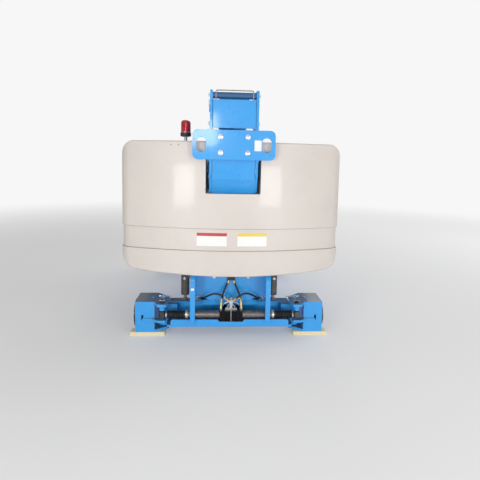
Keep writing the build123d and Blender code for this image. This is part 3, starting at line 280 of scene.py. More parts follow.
blue, grey = (0.034, 0.345, 0.8), (0.66, 0.605, 0.56)
finishLooks = {
    # colour, its drift and scale, roughness and its drift, scale, strength and depth of the grain, the rest
    "blueEnamel": (blue, 0.07, 1.6, 0.27, 0.05, 90.0, 0.18, 0.0006, {
        "coat": 0.7, "soil": (0.1, 5.0, 0.6, (0.2, 0.22, 0.24)),
    }),
    "dustAndReflectionEnamel": (blue, 0.07, 1.6, 0.29, 0.05, 90.0, 0.18, 0.0006, {
        "coat": 0.5, "soil": (0.12, 5.0, 0.58, (0.2, 0.19, 0.19)),
        # upward faces darkened: partly dust, partly a painted dark reflection
        "dustAndReflection": (0.86, (0.12, 0.108, 0.104), (0.9, 0.985)),
    }),
    # a darker copy of the blue enamel: painted shade on the weld beads
    "shadedBlueEnamel": ((0.018, 0.19, 0.5), 0.07, 1.6, 0.22, 0.05, 90.0, 0.15, 0.0006, {"coat": 0.4}),
    "greyCasting": (grey, 0.045, 2.4, 0.42, 0.07, 34.0, 0.16, 0.0018, {
        "coat": 0.15, "grainDetail": 5.0, "soil": (0.1, 3.2, 0.6, (0.36, 0.3, 0.26)),
    }),
    "greyHood": (grey, 0.04, 2.0, 0.36, 0.06, 60.0, 0.12, 0.0012, {"coat": 0.2}),
    "darkPaint": ((0.022, 0.023, 0.026), 0.25, 6.0, 0.34, 0.08, 70.0, 0.2, 0.0008, {}),
    "slateEnamel": ((0.034, 0.13, 0.29), 0.1, 3.0, 0.34, 0.05, 90.0, 0.15, 0.0006, {"coat": 0.2}),
    "clampedTube": ((0.25, 0.225, 0.21), 0.2, 9.0, 0.27, 0.06, 60.0, 0.15, 0.0005, {
        "metal": 0.75, "grainStretch": (0.05, 1, 1), "zone": (0.01, 0.1175, (0.012, 0.012, 0.014)),
    }),
    "tubeSteel": ((0.105, 0.103, 0.103), 0.3, 9.0, 0.24, 0.06, 60.0, 0.15, 0.0005, {
        "metal": 0.75, "grainStretch": (0.05, 1, 1),
    }),
    "bareCasting": ((0.135, 0.118, 0.104), 0.35, 9.0, 0.62, 0.1, 120.0, 0.5, 0.0015, {"grainDetail": 6.0}),
    "foldRubber": ((0.02, 0.02, 0.021), 0.3, 12.0, 0.44, 0.1, 160.0, 0.3, 0.0006, {"lift": 0.04}),
    "hoseRubber": ((0.012, 0.012, 0.013), 0.3, 20.0, 0.42, 0.08, 260.0, 0.35, 0.0004, {"lift": 0.04}),
    "zincPlate": ((0.7, 0.7, 0.7), 0.12, 30.0, 0.3, 0.1, 200.0, 0.15, 0.0004, {"metal": 0.85}),
    "yellowZinc": ((0.56, 0.43, 0.2), 0.2, 40.0, 0.32, 0.1, 220.0, 0.15, 0.0004, {"metal": 0.8}),
    "wornSteel": ((0.34, 0.31, 0.29), 0.2, 20.0, 0.45, 0.1, 200.0, 0.2, 0.0004, {"metal": 0.4}),
    "chromeRod": ((0.78, 0.78, 0.8), 0.04, 8.0, 0.09, 0.03, 300.0, 0.05, 0.0002, {"metal": 1.0}),
    "whitePaint": ((0.8, 0.8, 0.79), 0.03, 14.0, 0.4, 0.08, 150.0, 0.08, 0.0004, {}),
    "labelWhite": ((0.85, 0.85, 0.83), 0.03, 14.0, 0.3, 0.05, 200.0, 0.03, 0.0002, {}),
    "labelRed": ((0.52, 0.06, 0.075), 0.06, 14.0, 0.3, 0.05, 200.0, 0.03, 0.0002, {}),
    "labelYellow": ((0.8, 0.6, 0.1), 0.05, 14.0, 0.3, 0.05, 200.0, 0.03, 0.0002, {}),
    "deckMetal": ((0.52, 0.53, 0.54), 0.12, 5.0, 0.42, 0.1, 120.0, 0.2, 0.0006, {"metal": 0.75}),
    "seamShade": ((0.3, 0.262, 0.235), 0.06, 6.0, 0.6, 0.06, 90.0, 0.1, 0.0004, {}),
    "darkPlastic": ((0.03, 0.031, 0.033), 0.15, 10.0, 0.5, 0.06, 420.0, 0.4, 0.0005, {"lift": 0.05}),
    "redPlastic": ((0.55, 0.02, 0.018), 0.05, 10.0, 0.35, 0.05, 200.0, 0.05, 0.0003, {}),
    "greenPlastic": ((0.03, 0.36, 0.08), 0.05, 10.0, 0.35, 0.05, 200.0, 0.05, 0.0003, {}),
}
finishes = {name: coatFinish(name, row) for name, row in finishLooks.items()}

timberLook = {
    "pale": (0.9, 0.84, 0.6), "dark": (0.82, 0.72, 0.47), "rings": 26.0, "long": (0.1, 1, 1),
    "fibre": 140.0, "fibreLong": (0.04, 1, 1), "shade": (0.88, 0.85, 0.8), "shadeShare": 0.6,
    "rough": 0.78, "bump": (0.5, 0.0012),
}


# Sawn softwood: rings are a stretched noise fed to a sine of the board's width
def timberFinish(name, look):
    material, tree, shader, here = newMaterial(name)
    mapping = addNode(tree, "Mapping", {"Vector": here, "Scale": look["long"]})
    wave = addNode(tree, "TexWave", {
        "Vector": mapping.outputs["Vector"], "Scale": look["rings"], "Distortion": 3.0, "Detail": 3.0,
    }, wave_type="RINGS", rings_direction="X")
    fibre = noiseField(tree, here, look["fibre"], 4.0, look["fibreLong"], 0.6)
    ringed = rampOf(tree, wave.outputs["Fac"], [(0.15, look["pale"]), (0.85, look["dark"])])
    streak = rampOf(tree, fibre, [(0.35, look["shade"]), (0.65, (1, 1, 1))])
    feed(tree, shader, {
        "Base Color": mixed(tree, look["shadeShare"], ringed, streak, blend_type="MULTIPLY"),
        "Roughness": look["rough"],
        "Normal": bumped(tree, fibre, *look["bump"]),
    })
    return material


lensLook = {
    "cloud": 18.0, "deep": (0.4, 0.004, 0.01), "bright": (0.8, 0.02, 0.035),
    "rough": 0.16, "clear": 0.25, "coat": 0.5,
}


# Red lens: clear coloured plastic
def lensFinish(name, look):
    material, tree, shader, here = newMaterial(name)
    cloud = noiseField(tree, here, look["cloud"], 2.0)
    feed(tree, shader, {
        "Base Color": rampOf(tree, cloud, [(0.3, look["deep"]), (0.7, look["bright"])]),
        "Roughness": look["rough"],
        "Transmission Weight": look["clear"],
        "Coat Weight": look["coat"],
    })
    return material


finishes["sawnTimber"] = timberFinish("sawnTimber", timberLook)
finishes["redLens"] = lensFinish("redLens", lensLook)
print("finishes made,", len(finishes))


# A hose's line is a NURBS spline over the points of its route
def addHose(name, points, diameter):
    curve = bpy.data.curves.new(name, "CURVE")
    curve.dimensions = "3D"
    curve.bevel_depth = diameter / 2
    curve.bevel_resolution = 5
    curve.resolution_u = 10
    curve.use_fill_caps = True
    spline = curve.splines.new("NURBS")
    spline.points.add(len(points) - 1)
    spline.points.foreach_set("co", np.column_stack([np.array(points), np.ones(len(points))]).ravel())
    spline.order_u = 3
    spline.use_endpoint_u = True
    curve.materials.append(finishes["hoseRubber"])
    return newObject(name, curve)


hoseLook = {
    "diameter": 0.018,
    "routes": {
        # CAD node: real length, points
        "hose_drop_left": (0.287, [
            (-0.015, slewY - 1.078, 0.563), (-0.038, slewY - 1.095, 0.51), (-0.068, slewY - 1.125, 0.45),
            (-0.088, slewY - 1.158, 0.38), (-0.093, slewY - 1.181, 0.31),
        ]),
        "hose_drop_right": (0.287, [
            (0.035, slewY - 1.078, 0.563), (0.058, slewY - 1.096, 0.508), (0.089, slewY - 1.127, 0.447),
            (0.11, slewY - 1.16, 0.378), (0.113, slewY - 1.181, 0.31),
        ]),
        "hose_loop_left": (0.39, [
            (-0.012, slewY - 1.176, 0.372), (-0.062, slewY - 1.184, 0.42), (-0.124, slewY - 1.18, 0.448),
            (-0.188, slewY - 1.162, 0.44), (-0.244, slewY - 1.13, 0.402), (-0.292, slewY - 1.09, 0.366),
            (-0.326, slewY - 1.04, 0.356),
        ]),
        "hose_loop_right": (0.381, [
            (0.032, slewY - 1.176, 0.372), (0.082, slewY - 1.184, 0.422), (0.144, slewY - 1.181, 0.454),
            (0.206, slewY - 1.163, 0.444), (0.258, slewY - 1.131, 0.404), (0.3, slewY - 1.09, 0.366),
            (0.33, slewY - 1.04, 0.354),
        ]),
    },
}
for node, (length, points) in hoseLook["routes"].items():
    hose = addHose(node + "_rubber", points, hoseLook["diameter"])
    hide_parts(node)
    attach(hose, "chassis")
print("hoses laid,", len(hoseLook["routes"]))


def shadeSmooth(work, angle):
    for face in work.faces:
        face.smooth = True
    for edge in work.edges:
        edge.smooth = edge.calc_face_angle(0.0) < math.radians(angle)


# Small rounds on the sharp edges, or on each edge by its own weight
def easeEdges(piece, width, angle, segments=2, byWeight=False):
    bevel = piece.modifiers.new("ease", "BEVEL")
    bevel.width = width
    bevel.segments = segments
    bevel.limit_method = "WEIGHT" if byWeight else "ANGLE"
    bevel.angle_limit = math.radians(angle)
    bevel.harden_normals = True
    bevel.use_clamp_overlap = not byWeight


# A copy of a CAD node with its loose triangles joined and its sharp edges eased
def easedCopy(node, finish, width, segments=2, angle=32.0, weigh=None):
    mesh = nodesOf[node].data.copy()
    mesh.name = node + "_eased"
    mesh.materials.clear()
    shape = bmesh.new()
    shape.from_mesh(mesh)
    bmesh.ops.remove_doubles(shape, verts=shape.verts, dist=2e-5)
    bmesh.ops.dissolve_limit(
        shape, angle_limit=math.radians(0.6), use_dissolve_boundaries=False,
        verts=shape.verts, edges=shape.edges, delimit={"NORMAL"},
    )
    if weigh:
        bmesh.ops.join_triangles(
            shape, faces=shape.faces, angle_face_threshold=math.radians(12.0),
            angle_shape_threshold=math.radians(180.0),
        )
    shadeSmooth(shape, angle)
    if weigh:
        weight = shape.edges.layers.float.new("bevel_weight_edge")
        for edge in shape.edges:
            edge[weight] = weigh(edge)
    shape.to_mesh(mesh)
    shape.free()
    piece = newObject(node + "_eased", mesh)
    if width:
        easeEdges(piece, width, angle, segments, weigh is not None)
    mesh.materials.append(finishes[finish])
    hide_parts(node)
    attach(piece, bodyOf[node])


bodyOf = {}
for body, members in frame["record"]["behaviour"]["bodies"].items():
    bodyOf.update(dict.fromkeys(members, body))

# Finish and edge width of every CAD node that shows, in metres
easedLook = {
    "timber_planks": ("sawnTimber", 0.0025),
    "chassis_frame": ("blueEnamel", 0.003),
    "steer_axle": ("dustAndReflectionEnamel", 0.004),
    "drive_axle": ("dustAndReflectionEnamel", 0.004),
    "knuckle_left": ("dustAndReflectionEnamel", 0.0035),
    "knuckle_right": ("dustAndReflectionEnamel", 0.0035),
    "hub_rear_left": ("darkPaint", 0.0015),
    "hub_rear_right": ("darkPaint", 0.0015),
    "hub_front_left": ("darkPaint", 0.0015),
    "hub_front_right": ("darkPaint", 0.0015),
    "steer_cylinder": ("clampedTube", 0.0015),
    "steer_rod": ("tubeSteel", 0.001),
    "lockout_cylinders": ("bareCasting", 0.0015),
    "slew_ring": ("darkPaint", 0.002),
    "turntable_frame": ("blueEnamel", 0.003),
    "engine_block": ("darkPaint", 0.006),
    "fluid_tanks": ("darkPaint", 0.02),
    "counterweight": ("greyCasting", 0.017),
    "beacon": ("redLens", 0.002),
    "hood_left": ("greyHood", 0.006),
    "hood_right": ("greyHood", 0.006),
    "riser_arm": ("blueEnamel", 0.004),
    "riser_link": ("blueEnamel", 0.003),
    "upright": ("blueEnamel", 0.0025),
    "tie_plate": ("blueEnamel", 0.003),
    "riser_cylinder_barrel": ("darkPaint", 0.0015),
    "riser_cylinder_rod": ("chromeRod", 0.001),
    "main_cylinder_barrel": ("darkPaint", 0.0015),
    "main_cylinder_rod": ("chromeRod", 0.001),
    "main_boom": ("blueEnamel", 0.005),
    "fly_boom": ("blueEnamel", 0.004),
    "platform_support": ("blueEnamel", 0.0025),
    "platform_base": ("deckMetal", 0.0015),
    "platform_rails": ("greyHood", 0.0),
    "platform_gate": ("greyHood", 0.0),
    "control_box": ("darkPlastic", 0.006),
    "hose_fittings": ("zincPlate", 0.001),
}
castLook = {
    "segments": 5, "angle": 20.0, "notchHalf": 0.257, "notchLow": 1.484, "band": (0.938, 1.153),
    "bandEnd": slewY - 0.76, "front": slewY - 0.71,
    # share of the width that an edge gets in the notch, at the band and in front
    "inNotch": 0.3, "atBand": 0.06, "inFront": 0.2,
}


# Share of the casting's wide round that an edge gets: all of it behind, less in the places named
def castShare(edge):
    if edge.smooth:
        return 0.0
    x, y, z = (edge.verts[0].co + edge.verts[1].co) / 2
    atBandEnd = abs(y - castLook["bandEnd"]) < 0.004
    if atBandEnd or any(abs(z - level) < 0.012 for level in castLook["band"]):
        return castLook["atBand"]
    if y > castLook["front"]:
        return castLook["inFront"]
    if abs(x) < castLook["notchHalf"] + 0.002 and z > castLook["notchLow"] - 0.002:
        return castLook["inNotch"]
    return 1.0


for node, (finish, width) in easedLook.items():
    if node == "counterweight":
        easedCopy(node, finish, width, castLook["segments"], castLook["angle"], castShare)
    else:
        easedCopy(node, finish, width)
print("CAD nodes dressed,", len(easedLook))


# Points and faces gathered for one piece
class Shape:
    def __init__(self):
        self.points = []
        self.faces = []

    def add(self, points, faces):
        start = len(self.points)
        self.points.extend(tuple(float(v) for v in point) for point in points)
        self.faces.extend(tuple(start + i for i in face) for face in faces)


def shapes(count):
    return [Shape() for _ in range(count)]


# Places round a circle, as pairs of sideways and upward offsets
def circle(radius, count, turn=0.0):
    turns = [2 * math.pi * k / count + turn for k in range(count)]
    return [(radius * math.cos(a), radius * math.sin(a)) for a in turns]


# Faces of a net with so many rings of count points; an endless net closes on its first ring
def netFaces(rings, count, endless=False, closed=True):
    faces = []
    for k in range(rings if endless else rings - 1):
        n = (k + 1) % rings
        for i in range(count if closed else count - 1):
            j = (i + 1) % count
            faces.append((k * count + i, n * count + i, n * count + j, k * count + j))
    return faces


# The same net with its first and last ring filled in
def tubeFaces(rings, count):
    last = (rings - 1) * count
    return netFaces(rings, count) + [tuple(range(count)), tuple(range(last, last + count))]


def crossAxes(direction):
    w = np.array(direction, float)
    w /= np.linalg.norm(w)
    side = np.array((0.0, 0.0, 1.0)) if abs(w[2]) < 0.9 else np.array((0.0, 1.0, 0.0))
    u = np.cross(side, w)
    u /= np.linalg.norm(u)
    return u, np.cross(w, u), w


# P(a, k) = place + along_k w + radius_k (cos a u + sin a v), closed at both ends; radius 0 is one point
def turned(shape, place, direction, profile, sides=24, turn=0.0):
    u, v, w = crossAxes(direction)
    points, rings, faces = [], [], []
    for radius, along in profile:
        ring = circle(radius, sides, turn) if radius else [(0.0, 0.0)]
        rings.append(range(len(points), len(points) + len(ring)))
        points.extend(np.array(place, float) + along * w + p * u + q * v for p, q in ring)
    for low, high in zip(rings, rings[1:]):
        for k in range(sides):
            n = (k + 1) % sides
            if len(low) == 1:
                faces.append((low[0], high[n], high[k]))
            elif len(high) == 1:
                faces.append((low[k], low[n], high[0]))
            else:
                faces.append((low[k], low[n], high[n], high[k]))
    faces += [tuple(ring) for ring in (rings[0], rings[-1]) if len(ring) > 1]
    shape.add(points, faces)


# A ring with a bore: the profile is closed on itself, (radius, along)
def hooped(shape, place, direction, profile, sides=32):
    u, v, w = crossAxes(direction)
    points = []
    for p, q in circle(1.0, sides):
        points.extend(np.array(place, float) + along * w + radius * (p * u + q * v) for radius, along in profile)
    shape.add(points, netFaces(sides, len(profile), endless=True))


# A hexagon head on its washer, height measured from the face it sits on
def hexHead(shape, place, direction, across, high, washer=0.0):
    foot = 0.0
    if washer:
        turned(shape, place, direction, [(washer, 0.0), (washer, 0.0026), (washer - 0.0006, 0.003)], 28)
        foot = 0.003
    corner = across / math.sqrt(3)
    rows = [(corner, foot), (corner, foot + high * 0.86), (corner * 0.88, foot + high)]
    turned(shape, place, direction, rows, 6, 0.26)


# Two loops of as many points, joined and closed
def prism(shape, low, high):
    shape.add([*low, *high], tubeFaces(2, len(low)))


def corners(a, b):
    return [(a[0], b[0]), (a[1], b[0]), (a[1], b[1]), (a[0], b[1])]


# A box over three spans
def brick(shape, x, y, z):
    prism(shape, *([(*at, level) for at in corners(x, y)] for level in z))


# Catmull-Rom line through the points: four neighbours weigh each span
def smoothRoute(points, steps=8):
    points = [np.array(p, float) for p in points]
    ends = [2 * points[0] - points[1], *points, 2 * points[-1] - points[-2]]
    line = []
    for a, b, c, d in zip(ends, ends[1:], ends[2:], ends[3:]):
        for t in (k / steps for k in range(steps)):
            bend = (2 * a - 5 * b + 4 * c - d) * t**2 + (3 * b - a - 3 * c + d) * t**3
            line.append(0.5 * (2 * b + (c - a) * t + bend))
    line.append(points[-1])
    return line


# A round rod along a line, its section carried without twist
def swept(shape, line, radius, sides=12):
    line = [np.array(p, float) for p in line]
    points = []
    u = crossAxes(line[1] - line[0])[0]
    for k, here in enumerate(line):
        way = line[min(k + 1, len(line) - 1)] - line[max(k - 1, 0)]
        way /= np.linalg.norm(way)
        u = u - way * np.dot(u, way)
        u /= np.linalg.norm(u)
        v = np.cross(way, u)
        points.extend(here + p * u + q * v for p, q in circle(radius, sides))
    shape.add(points, tubeFaces(len(line), sides))


# A thin label laid on a wall that faces -Y: y = wall(x) - thick, corners of radius r
def labelSheet(shape, x, z, r, thick, wall):
    (x0, x1), (z0, z1) = x, z
    steps = [r * (1 - math.cos(a)) for a in np.linspace(0, math.pi / 2, 6)]
    inner = np.linspace(x0 + r, x1 - r, 14)[1:-1]
    columns = [x0 + d for d in steps] + list(inner) + [x1 - d for d in reversed(steps)]
    points = []
    for at in columns:
        near = min(at - x0, x1 - at)
        cut = r - math.sqrt(max(r * r - max(r - near, 0.0) ** 2, 0.0))
        y = wall(at)
        points.extend((at, depth, z) for depth, z in corners((y - thick, y + thick), (z0 + cut, z1 - cut)))
    shape.add(points, tubeFaces(len(columns), 4))


# Slot of each finish, as in the record
slotFinishes = {
    "steel": ["zincPlate", "yellowZinc", "wornSteel"],
    "blue_paint": ["blueEnamel", "shadedBlueEnamel", "slateEnamel"],
    "dark_paint": ["darkPaint", "darkPlastic", "greenPlastic", "bareCasting", "tubeSteel"],
    "grey_shell": ["greyHood", "seamShade"],
    "rubber": ["foldRubber"],
    "floor": ["deckMetal"],
    "red_lens": ["redPlastic"],
}
slotOfFinish = {finish: slot for slot, names in slotFinishes.items() for finish in names}


# One object of a shape, smooth but for its sharp edges, with small rounds on them
def makePiece(name, shape, finish, body=None, ease=0.0, angle=34.0, slotName=None):
    mesh = bpy.data.meshes.new(name)
    mesh.from_pydata(shape.points, [], shape.faces)
    work = bmesh.new()
    work.from_mesh(mesh)
    bmesh.ops.recalc_face_normals(work, faces=work.faces)
    shadeSmooth(work, angle)
    work.to_mesh(mesh)
    work.free()
    mesh.materials.append(finishes[finish])
    piece = newObject(name, mesh)
    if ease:
        easeEdges(piece, ease, angle)
    if body:
        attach(piece, body)
    slotName = slotName or slotOfFinish.get(finish)
    return piece


# Rubber boots of the steering rod: r(t) = mean + deep cos(2 pi folds t), stiff cuffs at both ends
bootLook = {
    "from": 0.459, "to": 0.648, "mean": 0.039, "deep": 0.0058, "folds": 10, "cuff": 0.013, "bore": 0.0175,
    "innerCuff": 0.0375, "outerCuff": 0.032,
}


def bootPiece(node, side, look):
    start, end = look["from"] + look["cuff"], look["to"] - look["cuff"]
    rows = [(look["bore"], look["from"]), (look["innerCuff"], look["from"]), (look["innerCuff"], start - 0.002)]
    for t in np.linspace(0.0, 1.0, look["folds"] * 12 + 1):
        fold = look["deep"] * math.cos(2 * math.pi * look["folds"] * t)
        rows.append((look["mean"] - fold, start + (end - start) * t))
    rows += [(look["outerCuff"], end + 0.002), (look["outerCuff"], look["to"]), (look["bore"], look["to"])]
    shape = Shape()
    hooped(shape, (0, steerY, steerZ), (side, 0, 0), rows, 48)
    boot = makePiece(node + "_bellows", shape, "foldRubber", angle=60.0)
    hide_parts(node)
    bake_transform(boot)


for node, side in (("boot_left", -1), ("boot_right", 1)):
    bootPiece(node, side, bootLook)
print("boots folded")


# Hardware of the axle, the steering cylinder and its hoses
axleLook = {
    "top": 0.356,  # of the knuckle boxes
    "noseX": 0.685,
    "fittingX": 0.01,
    # a kingpin's head, then the bolt across it: its two ends and its height over the box
    "kingpinX": 0.69,
    "kingpin": [(0.02, 0.0015), (0.02, 0.02), (0.017, 0.024), (0.0, 0.024)],
    "cross": (0.047, -0.092),
    "crossUp": 0.0115,
    "crossR": 0.006,
    "outerNut": [(0.011, 0.0), (0.012, 0.002), (0.012, 0.015), (0.01, 0.017)],
    "innerNut": [(0.0095, 0.0), (0.0098, 0.012), (0.0085, 0.014)],
    "innerNutX": -0.018,
    "lockoutRod": (0.475, slewY - 0.9, 0.3),
    "lockoutRodForm": [(0.016, 0.0265), (0.016, 0.0545)],
    "lockoutBolt": (0.48, slewY - 0.9435, 0.537),
    # bolt heads: width across flats, height, radius of the washer
    "lockoutHead": (0.02, 0.01, 0.0145),
    "clamp": [(-0.0396, 0.0396), (panelY - 0.0326, panelY + 0.001), (0.5622, 0.6108)],
    "panelBolts": (-0.166, 0.191),
    "panelBoltZ": 0.586,
    "panelHead": (0.021, 0.011, 0.0165),
    "gland": [(0.0405, 0.4235), (0.0405, 0.4505), (0.0452, 0.449), (0.046, 0.437), (0.0452, 0.425)],
    "stud": (0.037, 0.15, 0.14, 0.0045),  # behind the cylinder, foot, length, radius
    "studHead": (0.014, 0.006),
    "brassNuts": (-0.041, -0.019),
    "darkNuts": (0.002, 0.024, 0.046),
    "nutZ": 0.301,
    "nut": (0.015, 0.012),
    "teeNutZ": 0.382,
    "teeNut": (0.027, 0.014),
    "tee": [(0.0125, 0.0), (0.0118, 0.008), (0.0085, 0.014), (0.0, 0.0165)],
    "pipe": 0.0042,
    "pipes": [
        # x from the tee, y from the cylinder, z
        [
            (-0.067, -0.013, 0.412), (-0.05, -0.015, 0.392), (0, -0.017, 0.352), (0.034, -0.013, 0.326),
            (0.038, -0.008, 0.3),
        ],
        [
            (0.085, 0.015, 0.4), (0.06, 0.016, 0.382), (0.01, 0.017, 0.344), (-0.03, 0.013, 0.322),
            (-0.036, 0.008, 0.3),
        ],
        [(-0.085, 0.01, 0.318), (-0.07, 0.004, 0.345), (-0.03, -0.002, 0.366), (-0.012, 0, 0.368)],
        [(0.085, 0.01, 0.318), (0.07, 0.004, 0.345), (0.03, -0.002, 0.366), (0.012, 0, 0.368)],
    ],
    "brightNut": [(0.0105, 0.0), (0.0115, 0.002), (0.0115, 0.018), (0.0095, 0.02), (0.0095, 0.026)],
    "brassNut": [(0.01, 0.0), (0.011, 0.002), (0.011, 0.016), (0.009, 0.018)],
    "ferrule": 0.0122,
    "dropNut": (0.0265, 0.02),
    "dropNutUnder": 0.017,
}


def axleHardware(look):
    top, x = look["top"], look["fittingX"]
    dark, bright, brass = shapes(3)
    for side in (-1, 1):
        kingpin = side * look["kingpinX"]
        turned(bright, (kingpin, steerAxleY, top), up, look["kingpin"])
        bolt = [(kingpin + side * reach, steerAxleY, top + look["crossUp"]) for reach in look["cross"]]
        swept(bright, bolt, look["crossR"], 16)
        turned(bright, bolt[0], (-side, 0, 0), look["outerNut"], 6)
        inner = (kingpin + side * look["innerNutX"], *bolt[0][1:])
        turned(bright, inner, (-side, 0, 0), look["innerNut"], 6)
        (rodX, *rodYZ), (boltX, *boltYZ) = look["lockoutRod"], look["lockoutBolt"]
        turned(bright, (side * rodX, *rodYZ), up, look["lockoutRodForm"], 28)
        hexHead(bright, (side * boltX, *boltYZ), astern, *look["lockoutHead"])
        hooped(bright, (0, steerY, steerZ), (side, 0, 0), look["gland"], 48)
    clampX, clampY, clampZ = look["clamp"]
    brick(dark, [x + step for step in clampX], clampY, clampZ)
    for at in look["panelBolts"]:
        hexHead(bright, (at, panelY, look["panelBoltZ"]), astern, *look["panelHead"])
    behind, foot, length, r = look["stud"]
    turned(bright, (x, steerY - behind, foot), up, [(r, 0.0), (r, length)], 16)
    hexHead(bright, (x, steerY - behind, foot + length), up, *look["studHead"])
    for shape, steps in ((brass, look["brassNuts"]), (dark, look["darkNuts"])):
        for step in steps:
            hexHead(shape, (x + step, steerY, look["nutZ"]), up, *look["nut"])
    hexHead(brass, (x, steerY + 0.002, look["teeNutZ"]), up, *look["teeNut"])
    turned(brass, (x, steerY + 0.002, look["teeNutZ"] + 0.013), up, look["tee"])
    for pipe in look["pipes"]:
        route = [(x + across, steerY + deep, z) for across, deep, z in pipe]
        swept(bright, smoothRoute(route), look["pipe"], 14)
    turned(bright, (x - 0.067, steerY - 0.013, 0.402), up, look["brightNut"], 6)
    turned(brass, (x + 0.085, steerY + 0.015, 0.392), up, look["brassNut"], 6)
    for node, (_, points) in hoseLook["routes"].items():
        drop = node.startswith("hose_drop")
        if drop:
            hexHead(brass, np.array(points[-1]) - (0, 0, look["dropNutUnder"]), up, *look["dropNut"])
        for end, count in ((points[:3], 8 if drop else 9), (points[:-4:-1], 15 if drop else 9)):
            swept(brass, smoothRoute(end, 12)[:count], look["ferrule"], 20)
    makePiece("axle_dark_nuts", dark, "darkPaint", "chassis", 0.0008)
    makePiece("axle_bright_hardware", bright, "zincPlate", "chassis", 0.0005)
    makePiece("steering_brass_fittings", brass, "yellowZinc", "chassis", 0.0006)


axleHardware(axleLook)

# Knuckle boxes: the nut over the steering arm with its split pin, the ball's cup, a grease nipple
knuckleLook = {
    "nut": (0.036, 0.018, 0.024),
    "stub": [(0.009, 0.018), (0.009, 0.024), (0.007, 0.026)],
    "neckZ": 0.2685,
    "neck": [(0.014, 0.0), (0.014, 0.017)],
    "pinR": 0.0022,
    "pin": [(-0.024, -0.004, 0.0245), (0.0, -0.006, 0.0235), (0.024, -0.004, 0.0235)],
    "cup": [(0.0, 0.286), (0.0285, 0.286), (0.033, 0.303), (0.0365, 0.322), (0.0365, 0.3312), (0.0, 0.3312)],
    "nipple": [(0.0125, 0.0), (0.0125, 0.004), (0.0095, 0.009), (0.0, 0.0105)],
    "nippleX": 0.796,
    "sides": ((-1, "knuckle_l", "left"), (1, "knuckle_r", "right")),
}


def knuckleParts(look):
    top = axleLook["top"]
    for side, body, tag in look["sides"]:
        black, shiny, cup = shapes(3)
        x = side * axleLook["noseX"]
        hexHead(black, (x, steerY, top), up, *look["nut"])
        turned(black, (x, steerY, top), up, look["stub"])
        turned(black, (x, steerY, look["neckZ"]), up, look["neck"])
        pin = [(x + across, steerY + deep, top + rise) for across, deep, rise in look["pin"]]
        swept(shiny, smoothRoute(pin, 4), look["pinR"], 10)
        turned(cup, (x, steerY, 0), up, look["cup"], 40)
        turned(cup, (side * look["nippleX"], steerAxleY - 0.01, top), up, look["nipple"], 20)
        makePiece("knuckle_nuts_" + tag, black, "darkPaint", body, 0.0008)
        makePiece("knuckle_split_pin_" + tag, shiny, "zincPlate", body)
        makePiece("knuckle_cup_" + tag, cup, "blueEnamel", body, 0.001)


knuckleParts(knuckleLook)

# Axle: the upturned lip along its shelf, cut lower at the clamp
lipLook = {
    "half": 0.595, "low": 0.13, "top": 0.2, "cut": 0.014, "notch": 0.118, "notchTop": 0.177, "slope": 0.017,
    "y": (steerAxleY - 0.2256, steerAxleY - 0.219),
}


def axleLip(look):
    x, half, low, top, cut = axleLook["fittingX"], look["half"], look["low"], look["top"], look["cut"]
    notch, notchTop = look["notch"], look["notchTop"]
    wide = notch + look["slope"]
    outline = [
        (-half, low), (half, low), (half, top - cut), (half - cut, top), (x + wide, top), (x + notch, notchTop),
        (x - notch, notchTop), (x - wide, top), (cut - half, top), (-half, top - cut),
    ]
    lip = Shape()
    prism(lip, *([(at, y, z) for at, z in outline] for y in look["y"]))
    makePiece("axle_lip", lip, "blueEnamel", "chassis", 0.0015)


axleLip(lipLook)

# Clips that hold the boots to the rod
clipLook = {
    "band": [(0.0315, 0.6385), (0.0315, 0.6465), (0.0335, 0.6465), (0.0335, 0.6385)],
    "x": 0.6425,
    "screw": [0.008, (steerY - 0.043, steerY - 0.0325), (steerZ - 0.009, steerZ + 0.006)],
}


def bootClips(look):
    clips = Shape()
    half, y, z = look["screw"]
    for side in (-1, 1):
        hooped(clips, (0, steerY, steerZ), (side, 0, 0), look["band"], 40)
        x = side * look["x"]
        brick(clips, (x - half, x + half), y, z)
    makePiece("boot_clips", clips, "zincPlate", "steering_rod", 0.0008)


bootClips(clipLook)
print("axle hardware fitted")


# Blank labels: the two on the counterweight's band follow its bow
labelLook = {
    "bandBack": slewY - 1.42,
    "bandRadius": 2.795,
    "corner": 0.004,
    "thick": 0.0005,
    "band": [("red", "labelRed", (-0.3355, -0.051)), ("yellow", "labelYellow", (0.049, 0.329))],
    "z": (0.987, 1.112),
    "header": 0.03,
    "flatCorner": 0.003,
    "flatThick": 0.0004,
    "flat": [
        # name, body, x, z, y of the wall
        ("label_chassis", "chassis", (-0.392, -0.362), (0.51, 0.533), slewY - 1.275),
        ("label_tie_plate", "mast", (0.186, 0.25), (1.884, 1.98), slewY - 1.48),
    ],
}


# y of a face that bows back by a radius, at x
def bowedY(back, radius, x):
    return back + radius - math.sqrt(radius**2 - x * x)


def labels(look):
    def bow(x):
        return bowedY(look["bandBack"], look["bandRadius"], x)

    white = Shape()
    low, top = look["z"]
    for key, finish, x in look["band"]:
        labelSheet(white, x, look["z"], look["corner"], look["thick"], bow)
        head = Shape()
        labelSheet(head, x, (top - look["header"], top), look["corner"], look["thick"] * 1.8, bow)
        makePiece("label_header_" + key, head, finish, "turntable")
    makePiece("labels_counterweight", white, "labelWhite", "turntable")
    for name, body, x, z, wall in look["flat"]:
        sheet = Shape()
        labelSheet(sheet, x, z, look["flatCorner"], look["flatThick"], lambda at, wall=wall: wall)
        makePiece(name, sheet, "labelWhite", body)


labels(labelLook)
print("labels laid")
